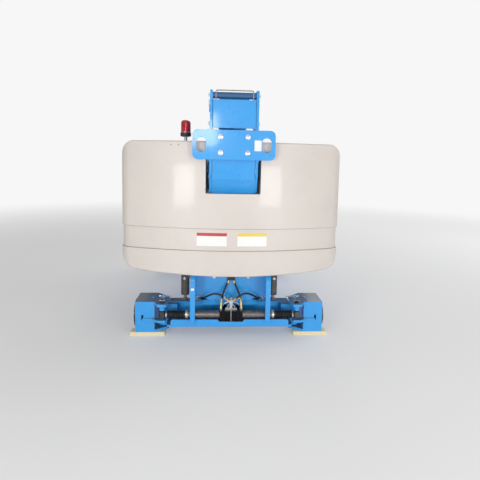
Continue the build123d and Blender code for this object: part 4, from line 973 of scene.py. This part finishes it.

# Upright: bolts on its sides, painted cross tube, bare rod frame, tie bolts and weld seams in a darker blue,
# painted shade along the plate joints
uprightLook = {
    "side": 0.225,
    "bolts": [
        # y from the slewing axis, z
        (-1.4, 2.388), (-1.3, 2.349), (-1.3, 2.318), (-1.42, 2.132),
    ],
    "boltHead": (0.024, 0.013, 0.0165),
    "rod": 0.0054,
    "frame": (slewY - 1.431, 2.333, 2.4296, 0.172, 0.016),  # y, foot, head, half its width, bend
    "tube": (-0.1995, slewY - 1.4, 2.388),
    "tubeForm": [(0.0304, 0.0), (0.0304, 0.399)],
    "tieX": 0.125,
    "tieZ": (1.863, 2.008),
    "tieY": slewY - 1.48,
    "washer": [(0.0245, -0.0004), (0.0245, 0.0036), (0.0238, 0.0042), (0.0, 0.0042)],
    "head": [(0.0212, 0.004), (0.0212, 0.0146), (0.0186, 0.0161), (0.0, 0.0161)],
    "weld": 0.0042,
    "welds": ((1.628, 1.8), (2.094, 2.342)),
    "weldAt": (0.1995, slewY - 1.4452),
}


def uprightParts(look):
    bright, rod, tube, heads, welds = shapes(5)
    y, foot, head, half, bend = look["frame"]
    line = [(-half, y, foot)]
    for side, turns in ((-1, (math.pi, math.pi / 2)), (1, (math.pi / 2, 0.0))):
        for a in np.linspace(*turns, 9):
            line.append((side * (half - bend) + bend * math.cos(a), y, head - bend + bend * math.sin(a)))
    swept(rod, [*line, (half, y, foot)], look["rod"], 14)
    turned(tube, look["tube"], (1, 0, 0), look["tubeForm"], 48)
    for x in (-look["tieX"], look["tieX"]):
        for z in look["tieZ"]:
            turned(heads, (x, look["tieY"], z), astern, look["washer"], 40)
            turned(heads, (x, look["tieY"], z), astern, look["head"], 6)
    weldX, weldY = look["weldAt"]
    for side in (-1, 1):
        for y, z in look["bolts"]:
            hexHead(bright, (side * look["side"], slewY + y, z), (side, 0, 0), *look["boltHead"])
        for ends in look["welds"]:
            swept(welds, [(side * weldX, weldY, z) for z in np.linspace(*ends, 13)], look["weld"])
    makePiece("tie_bolts", heads, "zincPlate", "mast", 0.0006)
    # weld beads in the darker blue: painted shade lines at the plate joints
    makePiece("upright_weld_shade", welds, "shadedBlueEnamel", "mast")
    makePiece("upright_side_bolts", bright, "whitePaint", "mast", 0.0006, slotName="steel")
    makePiece("upright_rod_frame", rod, "wornSteel", "mast")
    makePiece("upright_cross_tube", tube, "slateEnamel", "mast")


uprightParts(uprightLook)

# Beacon: bright pole, black base, its lens over them
beaconLook = {
    "place": (-0.479, slewY - 0.94, 1.97),
    "pole": [(0.025, 0.0002), (0.025, 0.005), (0.0158, 0.007), (0.0158, 0.066)],
    "base": [(0.03, 0.062), (0.0546, 0.068), (0.0546, 0.102), (0.052, 0.1056), (0.0, 0.1056)],
    "ring": [(0.048, 0.105), (0.0508, 0.105), (0.0508, 0.109), (0.048, 0.109)],
}


def beaconParts(look):
    pole, base, ring = shapes(3)
    turned(pole, look["place"], up, look["pole"], 32)
    turned(base, look["place"], up, look["base"], 48)
    hooped(ring, look["place"], up, look["ring"], 48)
    makePiece("beacon_pole", pole, "zincPlate", "turntable", 0.0006)
    makePiece("beacon_base", base, "darkPlastic", "turntable", 0.001)
    makePiece("beacon_ring", ring, "zincPlate", "turntable")


beaconParts(beaconLook)
print("upright and beacon finished")

# Hoods: pressed louvres with a dark strip under each as painted shade in its slot, latches with their handles,
# hinge bolts, a seal along the lower edge
hoodLook = {
    "side": 1.068,
    "louvres": [
        # side, y of the first slot's middle, z of its lowest row, slots in a row, rows
        (-1, slewY - 0.33, 1.36, 2, 9),
        (1, slewY + 0.72, 1.42, 1, 6),
    ],
    "slot": (0.34, 0.03, 0.0125),
    # dark strip under each louvre: painted shade in its slot
    "slotShade": (0.158, -0.0105, -0.0005, 0.0006),  # half its length, from, to, thickness
    "row": 0.04,
    "apart": 0.42,
    "latches": [slewY - 0.38, slewY + 0.84],
    "latchZ": 0.905,
    "plate": [(0.0, 0.0), (0.043, 0.0), (0.043, 0.0022), (0.04, 0.0034), (0.0, 0.0034)],
    "stem": [(0.013, 0.003), (0.013, 0.009), (0.011, 0.0105), (0.0, 0.0105)],
    "grip": [(0.0085, -0.006), (0.0105, 0.012), (0.0095, 0.034)],
    "gripR": 0.0048,
    "seal": [0.02, (slewY - 0.64, slewY + 1.1), (0.7785, 0.7905)],
    "hingeY": [slewY - 0.408, slewY + 0.231, slewY + 0.87],
    "hinge": (0.312, 0.016, 1.876),
    "hingeHead": (0.01, 0.005, 0.008),
}


# One pressed louvre: y(s) is the sill's half circle, drawn out of the wall along its lower side
def louvre(shape, x, side, y, z, look):
    long, high, proud = look["slot"]
    rows = []
    for s in np.linspace(-1.0, 1.0, 25):
        swell = max(1.0 - abs(s) ** 8, 0.0) ** 0.5
        for t in np.linspace(0.0, 1.0, 7):
            out = proud * swell * math.sin(0.5 * math.pi * (1.0 - t))
            rows.append((x + side * (0.0006 + out), y + s * long / 2, z + high * t * (0.6 + 0.4 * swell)))
    shape.add(rows, netFaces(25, 7, closed=False))


def hoodParts(look):
    half, start, stop, thick = look["slotShade"]
    deep, sealY, sealZ = look["seal"]
    hingeX, apart, hingeZ = look["hinge"]
    for tag, side in (("left", -1), ("right", 1)):
        skin, dark, metal, seal = shapes(4)
        x = side * look["side"]
        for which, firstY, firstZ, slots, rows in look["louvres"]:
            for i, k in np.ndindex(slots, rows):
                if which == side:
                    y, z = firstY + i * look["apart"], firstZ + k * look["row"]
                    louvre(skin, x, side, y, z, look)
                    # a dark strip under each louvre stands in for the shade in its slot
                    brick(dark, (x, x + side * thick), (y - half, y + half), (z + start, z + stop))
        for y in look["latches"]:
            turned(dark, (x, y, look["latchZ"]), (side, 0, 0), look["plate"], 40)
            turned(metal, (x, y, look["latchZ"]), (side, 0, 0), look["stem"], 32)
            grip = [(x + side * out, y, look["latchZ"] + rise) for out, rise in look["grip"]]
            swept(metal, smoothRoute(grip, 6), look["gripR"], 14)
        brick(seal, (x, x - side * deep), sealY, sealZ)
        for y in look["hingeY"]:
            for step in (-apart, apart):
                hexHead(metal, (side * hingeX, y + step, hingeZ), up, *look["hingeHead"])
        body = "hood_" + tag[0]
        makePiece("hood_louvres_" + tag, skin, "greyHood", body, angle=60.0)
        makePiece("hood_latch_plates_and_slot_shade_" + tag, dark, "darkPlastic", body, 0.0006)
        makePiece("hood_latches_" + tag, metal, "zincPlate", body, 0.0005)
        makePiece("hood_seal_" + tag, seal, "foldRubber", body, 0.004)


hoodParts(hoodLook)
print("hoods finished")

# Pins: a chamfered end, a keeper flag on it and the bolt that holds the flag
pinLook = {
    "pins": [
        # body, x of the pin's face, y, z, pin radius, direction of its flag in degrees, flag length
        ("turntable", 0.235, slewY + 1.15, 1.64, 0.04, 215.0, 0.085),
        ("turntable", 0.235, slewY + 1.27, 1.73, 0.025, 300.0, 0.055),
        ("mast", 0.235, slewY - 1.25, 1.64, 0.04, 40.0, 0.085),
        ("mast", 0.235, slewY - 1.13, 1.73, 0.025, 75.0, 0.055),
        ("mast", 0.235, slewY - 1.37, 1.8, 0.025, 100.0, 0.055),
        ("support", 0.096, slewY + 4.25, 0.76, 0.025, 290.0, 0.05),
    ],
    "wide": 0.014,
    "thick": 0.0045,
    "bevel": [(0.94, -0.0004), (0.94, 0.004), (0.86, 0.0052), (0.0, 0.0052)],  # share of the radius, height
    "endHead": (0.013, 0.004),
    "flagHead": (0.016, 0.0065, 0.011),
}


def pinKeepers(look):
    wide, thick = look["wide"], look["thick"]
    for number, (body, x, y, z, r, turn, long) in enumerate(look["pins"]):
        flags, bolts = shapes(2)
        c, s = math.cos(math.radians(turn)), math.sin(math.radians(turn))
        tipY, tipZ = y + long * c, z + long * s
        flat = [(y - s * wide, z + c * wide), (tipY - s * wide, tipZ + c * wide)]
        flat += [(tipY + s * wide, tipZ - c * wide), (y + s * wide, z - c * wide)]
        for side in (-1, 1):
            face = side * x
            turned(flags, (face, y, z), (side, 0, 0), [(r * share, out) for share, out in look["bevel"]], 40)
            hexHead(bolts, (face + side * look["bevel"][-1][1], y, z), (side, 0, 0), *look["endHead"])
            prism(flags, *([(face + side * out, *at) for at in flat] for out in (0.0, thick)))
            eye = [(0.0, -0.0102), (wide, -0.0102), (wide, thick), (0.0, thick)]
            turned(flags, (face, tipY, tipZ), (side, 0, 0), eye, 28)
            hexHead(bolts, (face + side * thick, tipY, tipZ), (side, 0, 0), *look["flagHead"])
        tag = body + "_" + str(number)
        makePiece("pin_keepers_" + tag, flags, "blueEnamel", body, 0.001)
        makePiece("pin_bolts_" + tag, bolts, "zincPlate", body, 0.0005)


pinKeepers(pinLook)
print("pins kept")

# Main boom's mouth: a welded collar with the bolts of its wear pads, and the pads round the fly
mouthLook = {
    "tilt": math.radians(-8.0),
    "pivot": (slewY - 1.28, 2.29),
    "half": 0.14,
    "collar": (4.56, 4.7),
    "over": 0.012,
    "fly": 0.122,
    "pad": (4.6, 4.703),
    "padHalf": 0.095,
    "boltRows": (4.595, 4.665),
    "boltAcross": 0.06,
    "boltHead": (0.019, 0.009, 0.015),
    "plugs": ((1.05, "back"), (2.7, "middle"), (4.1, "front")),
    "plugUp": -0.085,
    "plug": [(0.0, 0.0), (0.021, 0.0), (0.021, 0.002), (0.017, 0.004), (0.0, 0.0045)],
}


def onBoom(look, along, above):
    c, s = math.cos(look["tilt"]), math.sin(look["tilt"])
    return look["pivot"][0] + along * c - above * s, look["pivot"][1] + along * s + above * c


def boomBrick(shape, look, x, along, above):
    prism(shape, *([(at, *onBoom(look, far, level)) for at, far in corners(x, along)] for level in above))


def boomMouth(look):
    half, padHalf = look["half"], look["padHalf"]
    out = half + look["over"]
    collar, pads, bolts = shapes(3)
    for sign in (-1, 1):
        band = (sign * (half - 0.001), sign * out)
        boomBrick(collar, look, band, look["collar"], (-out, out))
        boomBrick(collar, look, (-half, half), look["collar"], band)
        pad = (sign * (look["fly"] + 0.0008), sign * (half - 0.0105))
        boomBrick(pads, look, pad, look["pad"], (-padHalf, padHalf))
        boomBrick(pads, look, (-padHalf, padHalf), look["pad"], pad)
        rise = (0.0, -sign * math.sin(look["tilt"]), sign * math.cos(look["tilt"]))
        for along in look["boltRows"]:
            for across in (-look["boltAcross"], look["boltAcross"]):
                onSide, onTop = onBoom(look, along, across), onBoom(look, along, sign * out)
                hexHead(bolts, (sign * out, *onSide), (sign, 0, 0), *look["boltHead"])
                hexHead(bolts, (across, *onTop), rise, *look["boltHead"])
    makePiece("boom_collar", collar, "blueEnamel", "boom", 0.003)
    makePiece("boom_wear_pads", pads, "whitePaint", "boom", 0.001, slotName="grey_shell")
    makePiece("boom_collar_bolts", bolts, "zincPlate", "boom", 0.0006)
    for along, tag in look["plugs"]:
        plugs = Shape()
        for sign in (-1, 1):
            place = (sign * half, *onBoom(look, along, look["plugUp"]))
            turned(plugs, place, (sign, 0, 0), look["plug"], 28)
        makePiece("boom_plugs_" + tag, plugs, "darkPlastic", "boom", 0.0004)


boomMouth(mouthLook)
print("boom mouth finished")

# Driving axle: cover with its bolts round the bowl, flange in front, a filler plug
driveLook = {
    "z": 0.212,
    "front": driveAxleY + 0.12,
    "back": driveAxleY - 0.09,
    "boltAt": 0.118,
    "count": 12,
    "crown": [
        (0.0, -0.002), (0.132, -0.002), (0.132, 0.006), (0.104, 0.01), (0.085, 0.026), (0.045, 0.03),
        (0.0, 0.03),
    ],
    "flange": [
        (0.0, -0.002), (0.06, -0.002), (0.06, 0.012), (0.056, 0.015), (0.034, 0.015), (0.03, 0.02),
        (0.0, 0.02),
    ],
    "flangeBoltAt": 0.047,
    # bolt heads: width across flats, height, radius of the washer
    "backHead": (0.017, 0.009),
    "frontHead": (0.017, 0.009, 0.013),
    "flangeHead": (0.013, 0.006),
    "filler": (0.022, 0.01, 0.016),
    # how far each sits out of its face
    "backOut": 0.0075,
    "flangeOut": 0.015,
    "fillerOut": 0.03,
    "fillerUp": -0.05,
}


def driveParts(look):
    cover, bolts = shapes(2)
    front, back, level = look["front"], look["back"], look["z"]
    turned(cover, (0.0, back, level), astern, look["crown"], 64)
    turned(cover, (0.0, front, level), ahead, look["flange"], 48)
    for x, z in circle(look["boltAt"], look["count"], math.pi / look["count"]):
        hexHead(bolts, (x, back - look["backOut"], level + z), astern, *look["backHead"])
        hexHead(bolts, (x, front, level + z), ahead, *look["frontHead"])
    for x, z in circle(look["flangeBoltAt"], 6):
        hexHead(bolts, (x, front + look["flangeOut"], level + z), ahead, *look["flangeHead"])
    filler = (0.0, back - look["fillerOut"], level + look["fillerUp"])
    hexHead(bolts, filler, astern, *look["filler"])
    makePiece("drive_cover", cover, "blueEnamel", "chassis", 0.0015)
    makePiece("drive_bolts", bolts, "zincPlate", "chassis", 0.0006)


driveParts(driveLook)

# Hubs: a cap in the middle, nine bolts round it and the raised rim outside them
hubLook = {
    "z": 0.198, "face": 0.976, "cap": 0.984, "capHigh": 0.0112, "boltAt": 0.05, "bolts": 9, "turn": 0.2,
    "boltHead": (0.013, 0.006, 0.009), "capHead": (0.017, 0.004),
    "capForm": [(0.0, -0.0005), (0.036, -0.0005), (0.036, 0.006), (0.03, 0.01), (0.0, 0.0115)],
    "rim": [(0.07, -0.0005), (0.086, -0.0005), (0.086, 0.005), (0.083, 0.0075), (0.073, 0.0075), (0.07, 0.005)],
    "hubs": [
        # body, side, y
        ("hub_rl", -1, steerAxleY), ("hub_rr", 1, steerAxleY),
        ("hub_fl", -1, driveAxleY), ("hub_fr", 1, driveAxleY),
    ],
}


def hubParts(look):
    for body, side, y in look["hubs"]:
        cap, bolts = shapes(2)
        x, level, out = side * look["cap"], look["z"], (side, 0, 0)
        turned(cap, (x, y, level), out, look["capForm"], 48)
        hooped(cap, (side * look["face"], y, level), out, look["rim"], 64)
        for deep, rise in circle(look["boltAt"], look["bolts"], look["turn"]):
            hexHead(bolts, (x, y + deep, level + rise), out, *look["boltHead"])
        hexHead(bolts, (x + side * look["capHigh"], y, level), out, *look["capHead"])
        makePiece(body + "_cap", cap, "bareCasting", body, 0.001)
        makePiece(body + "_bolts", bolts, "zincPlate", body, 0.0005)


hubParts(hubLook)
print("driving axle and hubs finished")

# Lift cylinders: gland nut, wiper and port blocks, along the line from foot to eye
ramLook = {
    "rams": [
        # name, body, foot, eye, barrel radius, rod radius
        ("riser", "riser_barrel", (slewY + 1.04, 0.96), (slewY + 0.5, 1.475), 0.07, 0.038),
        ("main", "main_barrel", (slewY - 1.37, 1.8), onBoom(mouthLook, 0.55, -0.24), 0.052, 0.03),
    ],
    "short": 0.095,
    "ports": (0.14, -0.06),
    "block": [(0.0, 0.0), (0.02, 0.0), (0.02, 0.02), (0.017, 0.023), (0.0, 0.023)],
    "cap": [(0.0, 0.0), (0.011, 0.0), (0.011, 0.014), (0.009, 0.016), (0.0, 0.016)],
}


def ramParts(look):
    for name, body, foot, eye, r, rodR in look["rams"]:
        foot, eye = np.array((0.0, *foot)), np.array((0.0, *eye))
        length = float(np.linalg.norm(eye - foot))
        w = (eye - foot) / length
        end = length - look["short"]
        gland, ports = shapes(2)
        hooped(gland, foot + w * end, w, [
            (rodR + 0.0012, -0.02), (r + 0.006, -0.02), (r + 0.006, 0.004), (r + 0.002, 0.008),
            (rodR + 0.008, 0.008), (rodR + 0.008, 0.013), (rodR + 0.0012, 0.013),
        ], 56)
        side = np.cross(w, (1.0, 0.0, 0.0))
        for at in (look["ports"][0], end + look["ports"][1]):
            centre = foot + w * (at + r * 0.4)
            turned(ports, centre + side * (r - 0.006), side, look["block"], 6)
            turned(ports, centre + side * (r + 0.016), side, look["cap"])
        makePiece(name + "_gland", gland, "tubeSteel", body, 0.0008)
        makePiece(name + "_ports", ports, "zincPlate", body, 0.0008)


ramParts(ramLook)
print("cylinders finished")

# Platform: raised tread on the deck, foot switch, lanyard rings
deckLook = {
    "top": 0.29,
    "x": (-0.88, 0.88),
    "y": (slewY + 4.69 + 0.04, slewY + 4.69 + 0.776 - 0.04),
    "pitch": 0.044,
    "mark": (0.026, 0.0055, 0.0016),
    "rings": [-0.45, 0.45],
    "lugZ": 0.9,
    "ringZ": 0.862,
    "ringRod": 0.005,
    "ringY": slewY + 4.69 + 0.776 - 0.025 - 0.022,
    "lug": [(0.0, -0.02), (0.011, -0.02), (0.011, -0.004), (0.0, -0.004)],
    "ring": 0.026,
    "switch": (0.3, slewY + 5.25),
    "guard": [
        # x and y from the switch's middle, z from the deck
        [(-0.085, 0.085), (-0.07, 0.07), (0.0, 0.012)],
        [(-0.08, 0.08), (0.03, 0.066), (0.01, 0.07)],
        [(-0.084, -0.076), (-0.066, 0.066), (0.01, 0.085)],
        [(0.076, 0.084), (-0.066, 0.066), (0.01, 0.085)],
        [(-0.084, 0.084), (-0.052, 0.066), (0.083, 0.091)],
    ],
    "pedal": [(-0.06, -0.058, 0.016), (0.06, -0.058, 0.016), (0.06, 0.03, 0.048), (-0.06, 0.03, 0.048)],
    "pedalThick": 0.006,
}


# A tread mark is a lens with a flat top, turned by 45 degrees one way or the other
def treadMark(shape, x, y, top, turn, look):
    long, wide, high = look["mark"]
    c, s = math.cos(turn), math.sin(turn)
    ring = [(c * long * p - s * wide * q, s * long * p + c * wide * q) for p, q in circle(0.5, 8)]
    levels = ((1.0, top - 0.0002), (0.7, top + high))
    prism(shape, *([(x + p * share, y + q * share, z) for p, q in ring] for share, z in levels))


def deckParts(look):
    tread, feet, metal, dark = shapes(4)
    pitch, top = look["pitch"], look["top"]
    across, deep = (int((look[key][1] - look[key][0]) / pitch) + 1 for key in ("x", "y"))
    for i, k in np.ndindex(across, deep):
        turn = math.radians(45.0 if (i + k) % 2 else -45.0)
        treadMark(tread, look["x"][0] + i * pitch, look["y"][0] + k * pitch, top, turn, look)
    makePiece("deck_tread", tread, "deckMetal", "platform", angle=20.0)
    y = look["ringY"]
    for x in look["rings"]:
        turned(metal, (x, y, look["lugZ"]), up, look["lug"], 20)
        turns = np.linspace(0.5 * math.pi, 2.5 * math.pi, 25)
        r, z = look["ring"], look["ringZ"]
        ring = [(x + r * math.cos(a), y - 0.006, z + r * math.sin(a)) for a in turns]
        swept(metal, ring, look["ringRod"])
    middle = np.array((*look["switch"], top))
    for spans in look["guard"]:
        brick(dark, *(np.array(span) + at for span, at in zip(spans, middle)))
    pedal = np.array(look["pedal"]) + middle
    prism(feet, pedal, pedal + (0, 0, look["pedalThick"]))
    makePiece("platform_rings", metal, "zincPlate", "platform", 0.0005)
    makePiece("foot_switch_guard", dark, "redPlastic", "platform", 0.0025)
    makePiece("foot_switch_pedal", feet, "darkPlastic", "platform", 0.0015)


deckParts(deckLook)

# Control box: sloped panel with keys, two levers in rubber boots, a mushroom stop and its cover rail
controlLook = {
    "edge": (slewY + 5.201, 1.36),
    "slope": (0.9439, 0.3303),
    "x": (0.12, 0.56),
    "plate": [0.014, (0.012, 0.196), (-0.001, 0.0025)],
    "leverX": [0.2, 0.48],
    "leverY": 0.07,
    "grip": [
        (0.0, 0.03), (0.0075, 0.03), (0.0075, 0.04), (0.0125, 0.046), (0.015, 0.062), (0.014, 0.082),
        (0.017, 0.094), (0.014, 0.103), (0.0, 0.106),
    ],
    "keyX": [0.165, 0.215, 0.265, 0.415, 0.465, 0.515],
    "keyY": 0.158,
    "keyFoot": [(0.0, 0.002), (0.0115, 0.002), (0.0115, 0.006), (0.0, 0.006)],
    "keyNut": [(0.0, 0.005), (0.0062, 0.005), (0.0062, 0.0095), (0.0, 0.0095)],
    "keyLever": [(0.0, 0.0), (0.0022, 0.0), (0.0032, 0.014), (0.0022, 0.0165), (0.0, 0.017)],
    "stopY": 0.15,
    "stop": [
        (0.0, 0.002), (0.012, 0.002), (0.012, 0.016), (0.02, 0.018), (0.021, 0.024), (0.017, 0.03), (0.0, 0.033),
    ],
    "start": [(0.0, 0.002), (0.009, 0.002), (0.009, 0.006), (0.006, 0.009), (0.0, 0.01)],
    "lamp": [(0.0, 0.002), (0.006, 0.002), (0.006, 0.006), (0.004, 0.008), (0.0, 0.0085)],
    "middle": 0.34,
    "lampX": (0.31, 0.37),
    # cover rail: inset from the box's end, along the panel, height over it; then its straight stretch
    "railEnd": [(0.01, 0.03, -0.004), (0.01, 0.026, 0.06), (0.04, 0.02, 0.076)],
    "railX": (0.23, 0.34, 0.45),
    "railOver": (0.018, 0.078),
    "railR": 0.0055,
}


def controlParts(look):
    along = np.array((0.0, *look["slope"]))
    out = np.array((0.0, -look["slope"][1], look["slope"][0]))

    def onPanel(x, far, high=0.0):
        return np.array((x, *look["edge"])) + along * far + out * high

    dark, rubber, metal, red, green = shapes(5)
    x0, x1 = look["x"]
    inset, far, levels = look["plate"]
    flat = corners((x0 + inset, x1 - inset), far)
    prism(metal, *([onPanel(*at, level) for at in flat] for level in levels))
    # r(t) = 29 mm - 17 t + 2.2 cos(6 pi t) over the boot's height
    steps = np.linspace(0, 1, 13)
    folds = [(0.029 - 0.017 * t + 0.0022 * math.cos(6 * math.pi * t), 0.006 + 0.026 * t) for t in steps]
    boot = [(0.0, 0.002), (0.031, 0.002), (0.031, 0.005), *folds, (0.009, 0.034), (0.0, 0.034)]
    for x in look["leverX"]:
        turned(rubber, onPanel(x, look["leverY"]), out, boot, 32)
        turned(dark, onPanel(x, look["leverY"]), out, look["grip"], 28)
    for x in look["keyX"]:
        turned(dark, onPanel(x, look["keyY"]), out, look["keyFoot"], 28)
        turned(metal, onPanel(x, look["keyY"]), out, look["keyNut"], 6)
        turned(metal, onPanel(x, look["keyY"], 0.008), out + along * 0.35, look["keyLever"], 16)
    turned(red, onPanel(look["middle"], look["stopY"]), out, look["stop"], 40)
    turned(green, onPanel(look["middle"], look["leverY"]), out, look["start"], 28)
    for x in look["lampX"]:
        turned(red, onPanel(x, look["leverY"]), out, look["lamp"], 24)
    rail = [onPanel(x0 + inset, far, high) for inset, far, high in look["railEnd"]]
    rail += [onPanel(x, *look["railOver"]) for x in look["railX"]]
    rail += [onPanel(x1 - inset, far, high) for inset, far, high in reversed(look["railEnd"])]
    swept(metal, smoothRoute(rail), look["railR"], 14)
    makePiece("control_levers", dark, "darkPlastic", "platform", 0.0006)
    makePiece("control_boots", rubber, "foldRubber", "platform")
    makePiece("control_metal", metal, "zincPlate", "platform", 0.0005)
    makePiece("control_stop", red, "redPlastic", "platform", 0.0006)
    makePiece("control_start", green, "greenPlastic", "platform", 0.0004)


controlParts(controlLook)

# Gate: rings of its two hinges, the latch and its knob
gateLook = {
    "x": -0.887,
    "hinge": slewY + 4.885,
    "far": slewY + 5.281,
    "rings": [0.61, 1.12],
    "ring": [(0.0167, 0.0), (0.0167, 0.034), (0.0215, 0.034), (0.0215, 0.0)],
    "latch": 1.13,
    "latchX": (-0.877, -0.853),
    "latchHigh": 0.085,
    "knobUp": 0.042,
    "knob": [
        (0.0, -0.001), (0.006, -0.001), (0.006, 0.012), (0.014, 0.016), (0.015, 0.024), (0.011, 0.03), (0.0, 0.032),
    ],
}


def gateParts(look):
    ring, latch, knob = shapes(3)
    x, y, far, level = look["x"], look["hinge"], look["far"], look["latch"]
    for z in look["rings"]:
        hooped(ring, (x, y, z), up, look["ring"], 40)
        brick(ring, (x - 0.008, x + 0.008), (y - 0.0265, y - 0.02), (z + 0.004, z + 0.03))
    brick(latch, look["latchX"], (far - 0.022, far + 0.012), (level, level + look["latchHigh"]))
    turned(knob, (look["latchX"][1], far - 0.005, level + look["knobUp"]), (1, 0, 0), look["knob"], 32)
    makePiece("gate_hinge_rings", ring, "greyHood", "platform", 0.001)
    makePiece("gate_latch", latch, "zincPlate", "gate", 0.003)
    makePiece("gate_knob", knob, "darkPlastic", "gate", 0.0006)


gateParts(gateLook)

# Rotator: its cover, a ring of bolts and one in the middle
supportLook = {
    "y": slewY + 4.46,
    "top": 0.79,
    "cover": [
        (0.0, -0.002), (0.082, -0.002), (0.082, 0.012), (0.078, 0.016), (0.05, 0.016), (0.046, 0.024),
        (0.0, 0.024),
    ],
    "boltAt": 0.065,
    "bolts": 8,
    "step": 0.016,  # of the cover, under the ring of bolts
    "crown": 0.024,
    "boltHead": (0.013, 0.006),
    "middleHead": (0.024, 0.009, 0.018),
}


def supportParts(look):
    housing, bolts = shapes(2)
    y, top = look["y"], look["top"]
    turned(housing, (0.0, y, top), up, look["cover"], 56)
    for across, deep in circle(look["boltAt"], look["bolts"]):
        hexHead(bolts, (across, y + deep, top + look["step"]), up, *look["boltHead"])
    hexHead(bolts, (0.0, y, top + look["crown"]), up, *look["middleHead"])
    makePiece("rotator_cover", housing, "bareCasting", "support", 0.001)
    makePiece("rotator_bolts", bolts, "zincPlate", "support", 0.0005)


supportParts(supportLook)
print("platform finished")

# Counterweight: painted shade lines along the two edges of its band follow its bow, corners and sides, and two
# small plugs
seamLook = {
    "back": slewY - 1.42, "radius": 2.795, "half": 1.075, "corner": 0.14, "front": slewY - 0.762,
    "seams": [(0.9385, 0.9425), (1.1485, 1.1525)], "proud": (-0.001, 0.0016),
    "plugs": (-0.583, -0.512), "plugBack": slewY - 1.4295, "plugRadius": 2.8452, "plugZ": 1.932,
    "plug": [(0.0, 0.0), (0.0055, 0.0), (0.005, 0.0012), (0.0, 0.0014)],
}


# Points of the band's outline with their outward normals: side, corner arc, bow, corner arc, side
def seamRoute(look):
    centre, half, corner = look["back"] + look["radius"], look["half"], look["corner"]
    fx, reach = half - corner, look["radius"] - corner
    fy = centre - math.sqrt(reach**2 - fx**2)
    turn = math.asin(fx / reach)
    arcs = [
        (fx, fy, corner, np.linspace(0.5 * math.pi, turn, 10)),
        (0.0, centre, look["radius"], np.linspace(turn, -turn, 60)[1:-1]),
        (-fx, fy, corner, np.linspace(-turn, -0.5 * math.pi, 10)),
    ]
    route = [(half, look["front"], 1.0, 0.0)]
    for x, y, r, turns in arcs:
        route += [(x + r * math.sin(a), y - r * math.cos(a), math.sin(a), -math.cos(a)) for a in turns]
    return [*route, (-half, look["front"], -1.0, 0.0)]


def seams(look):
    seamShadeShape, plugs = shapes(2)
    route = seamRoute(look)
    for span in look["seams"]:
        points = []
        for x, y, nx, ny in route:
            points += [(x + nx * out, y + ny * out, z) for out, z in corners(look["proud"], span)]
        seamShadeShape.add(points, tubeFaces(len(route), 4))
    # dark strips in the corners of the band's edges: painted shade where the body overhangs the recess
    makePiece("counterweight_seams", seamShadeShape, "seamShade", "turntable")
    for x in look["plugs"]:
        y = bowedY(look["plugBack"], look["plugRadius"], x)
        turned(plugs, (x, y, look["plugZ"]), astern, look["plug"], 20)
    makePiece("counterweight_plugs", plugs, "darkPlastic", "turntable")


seams(seamLook)
print("seams laid")
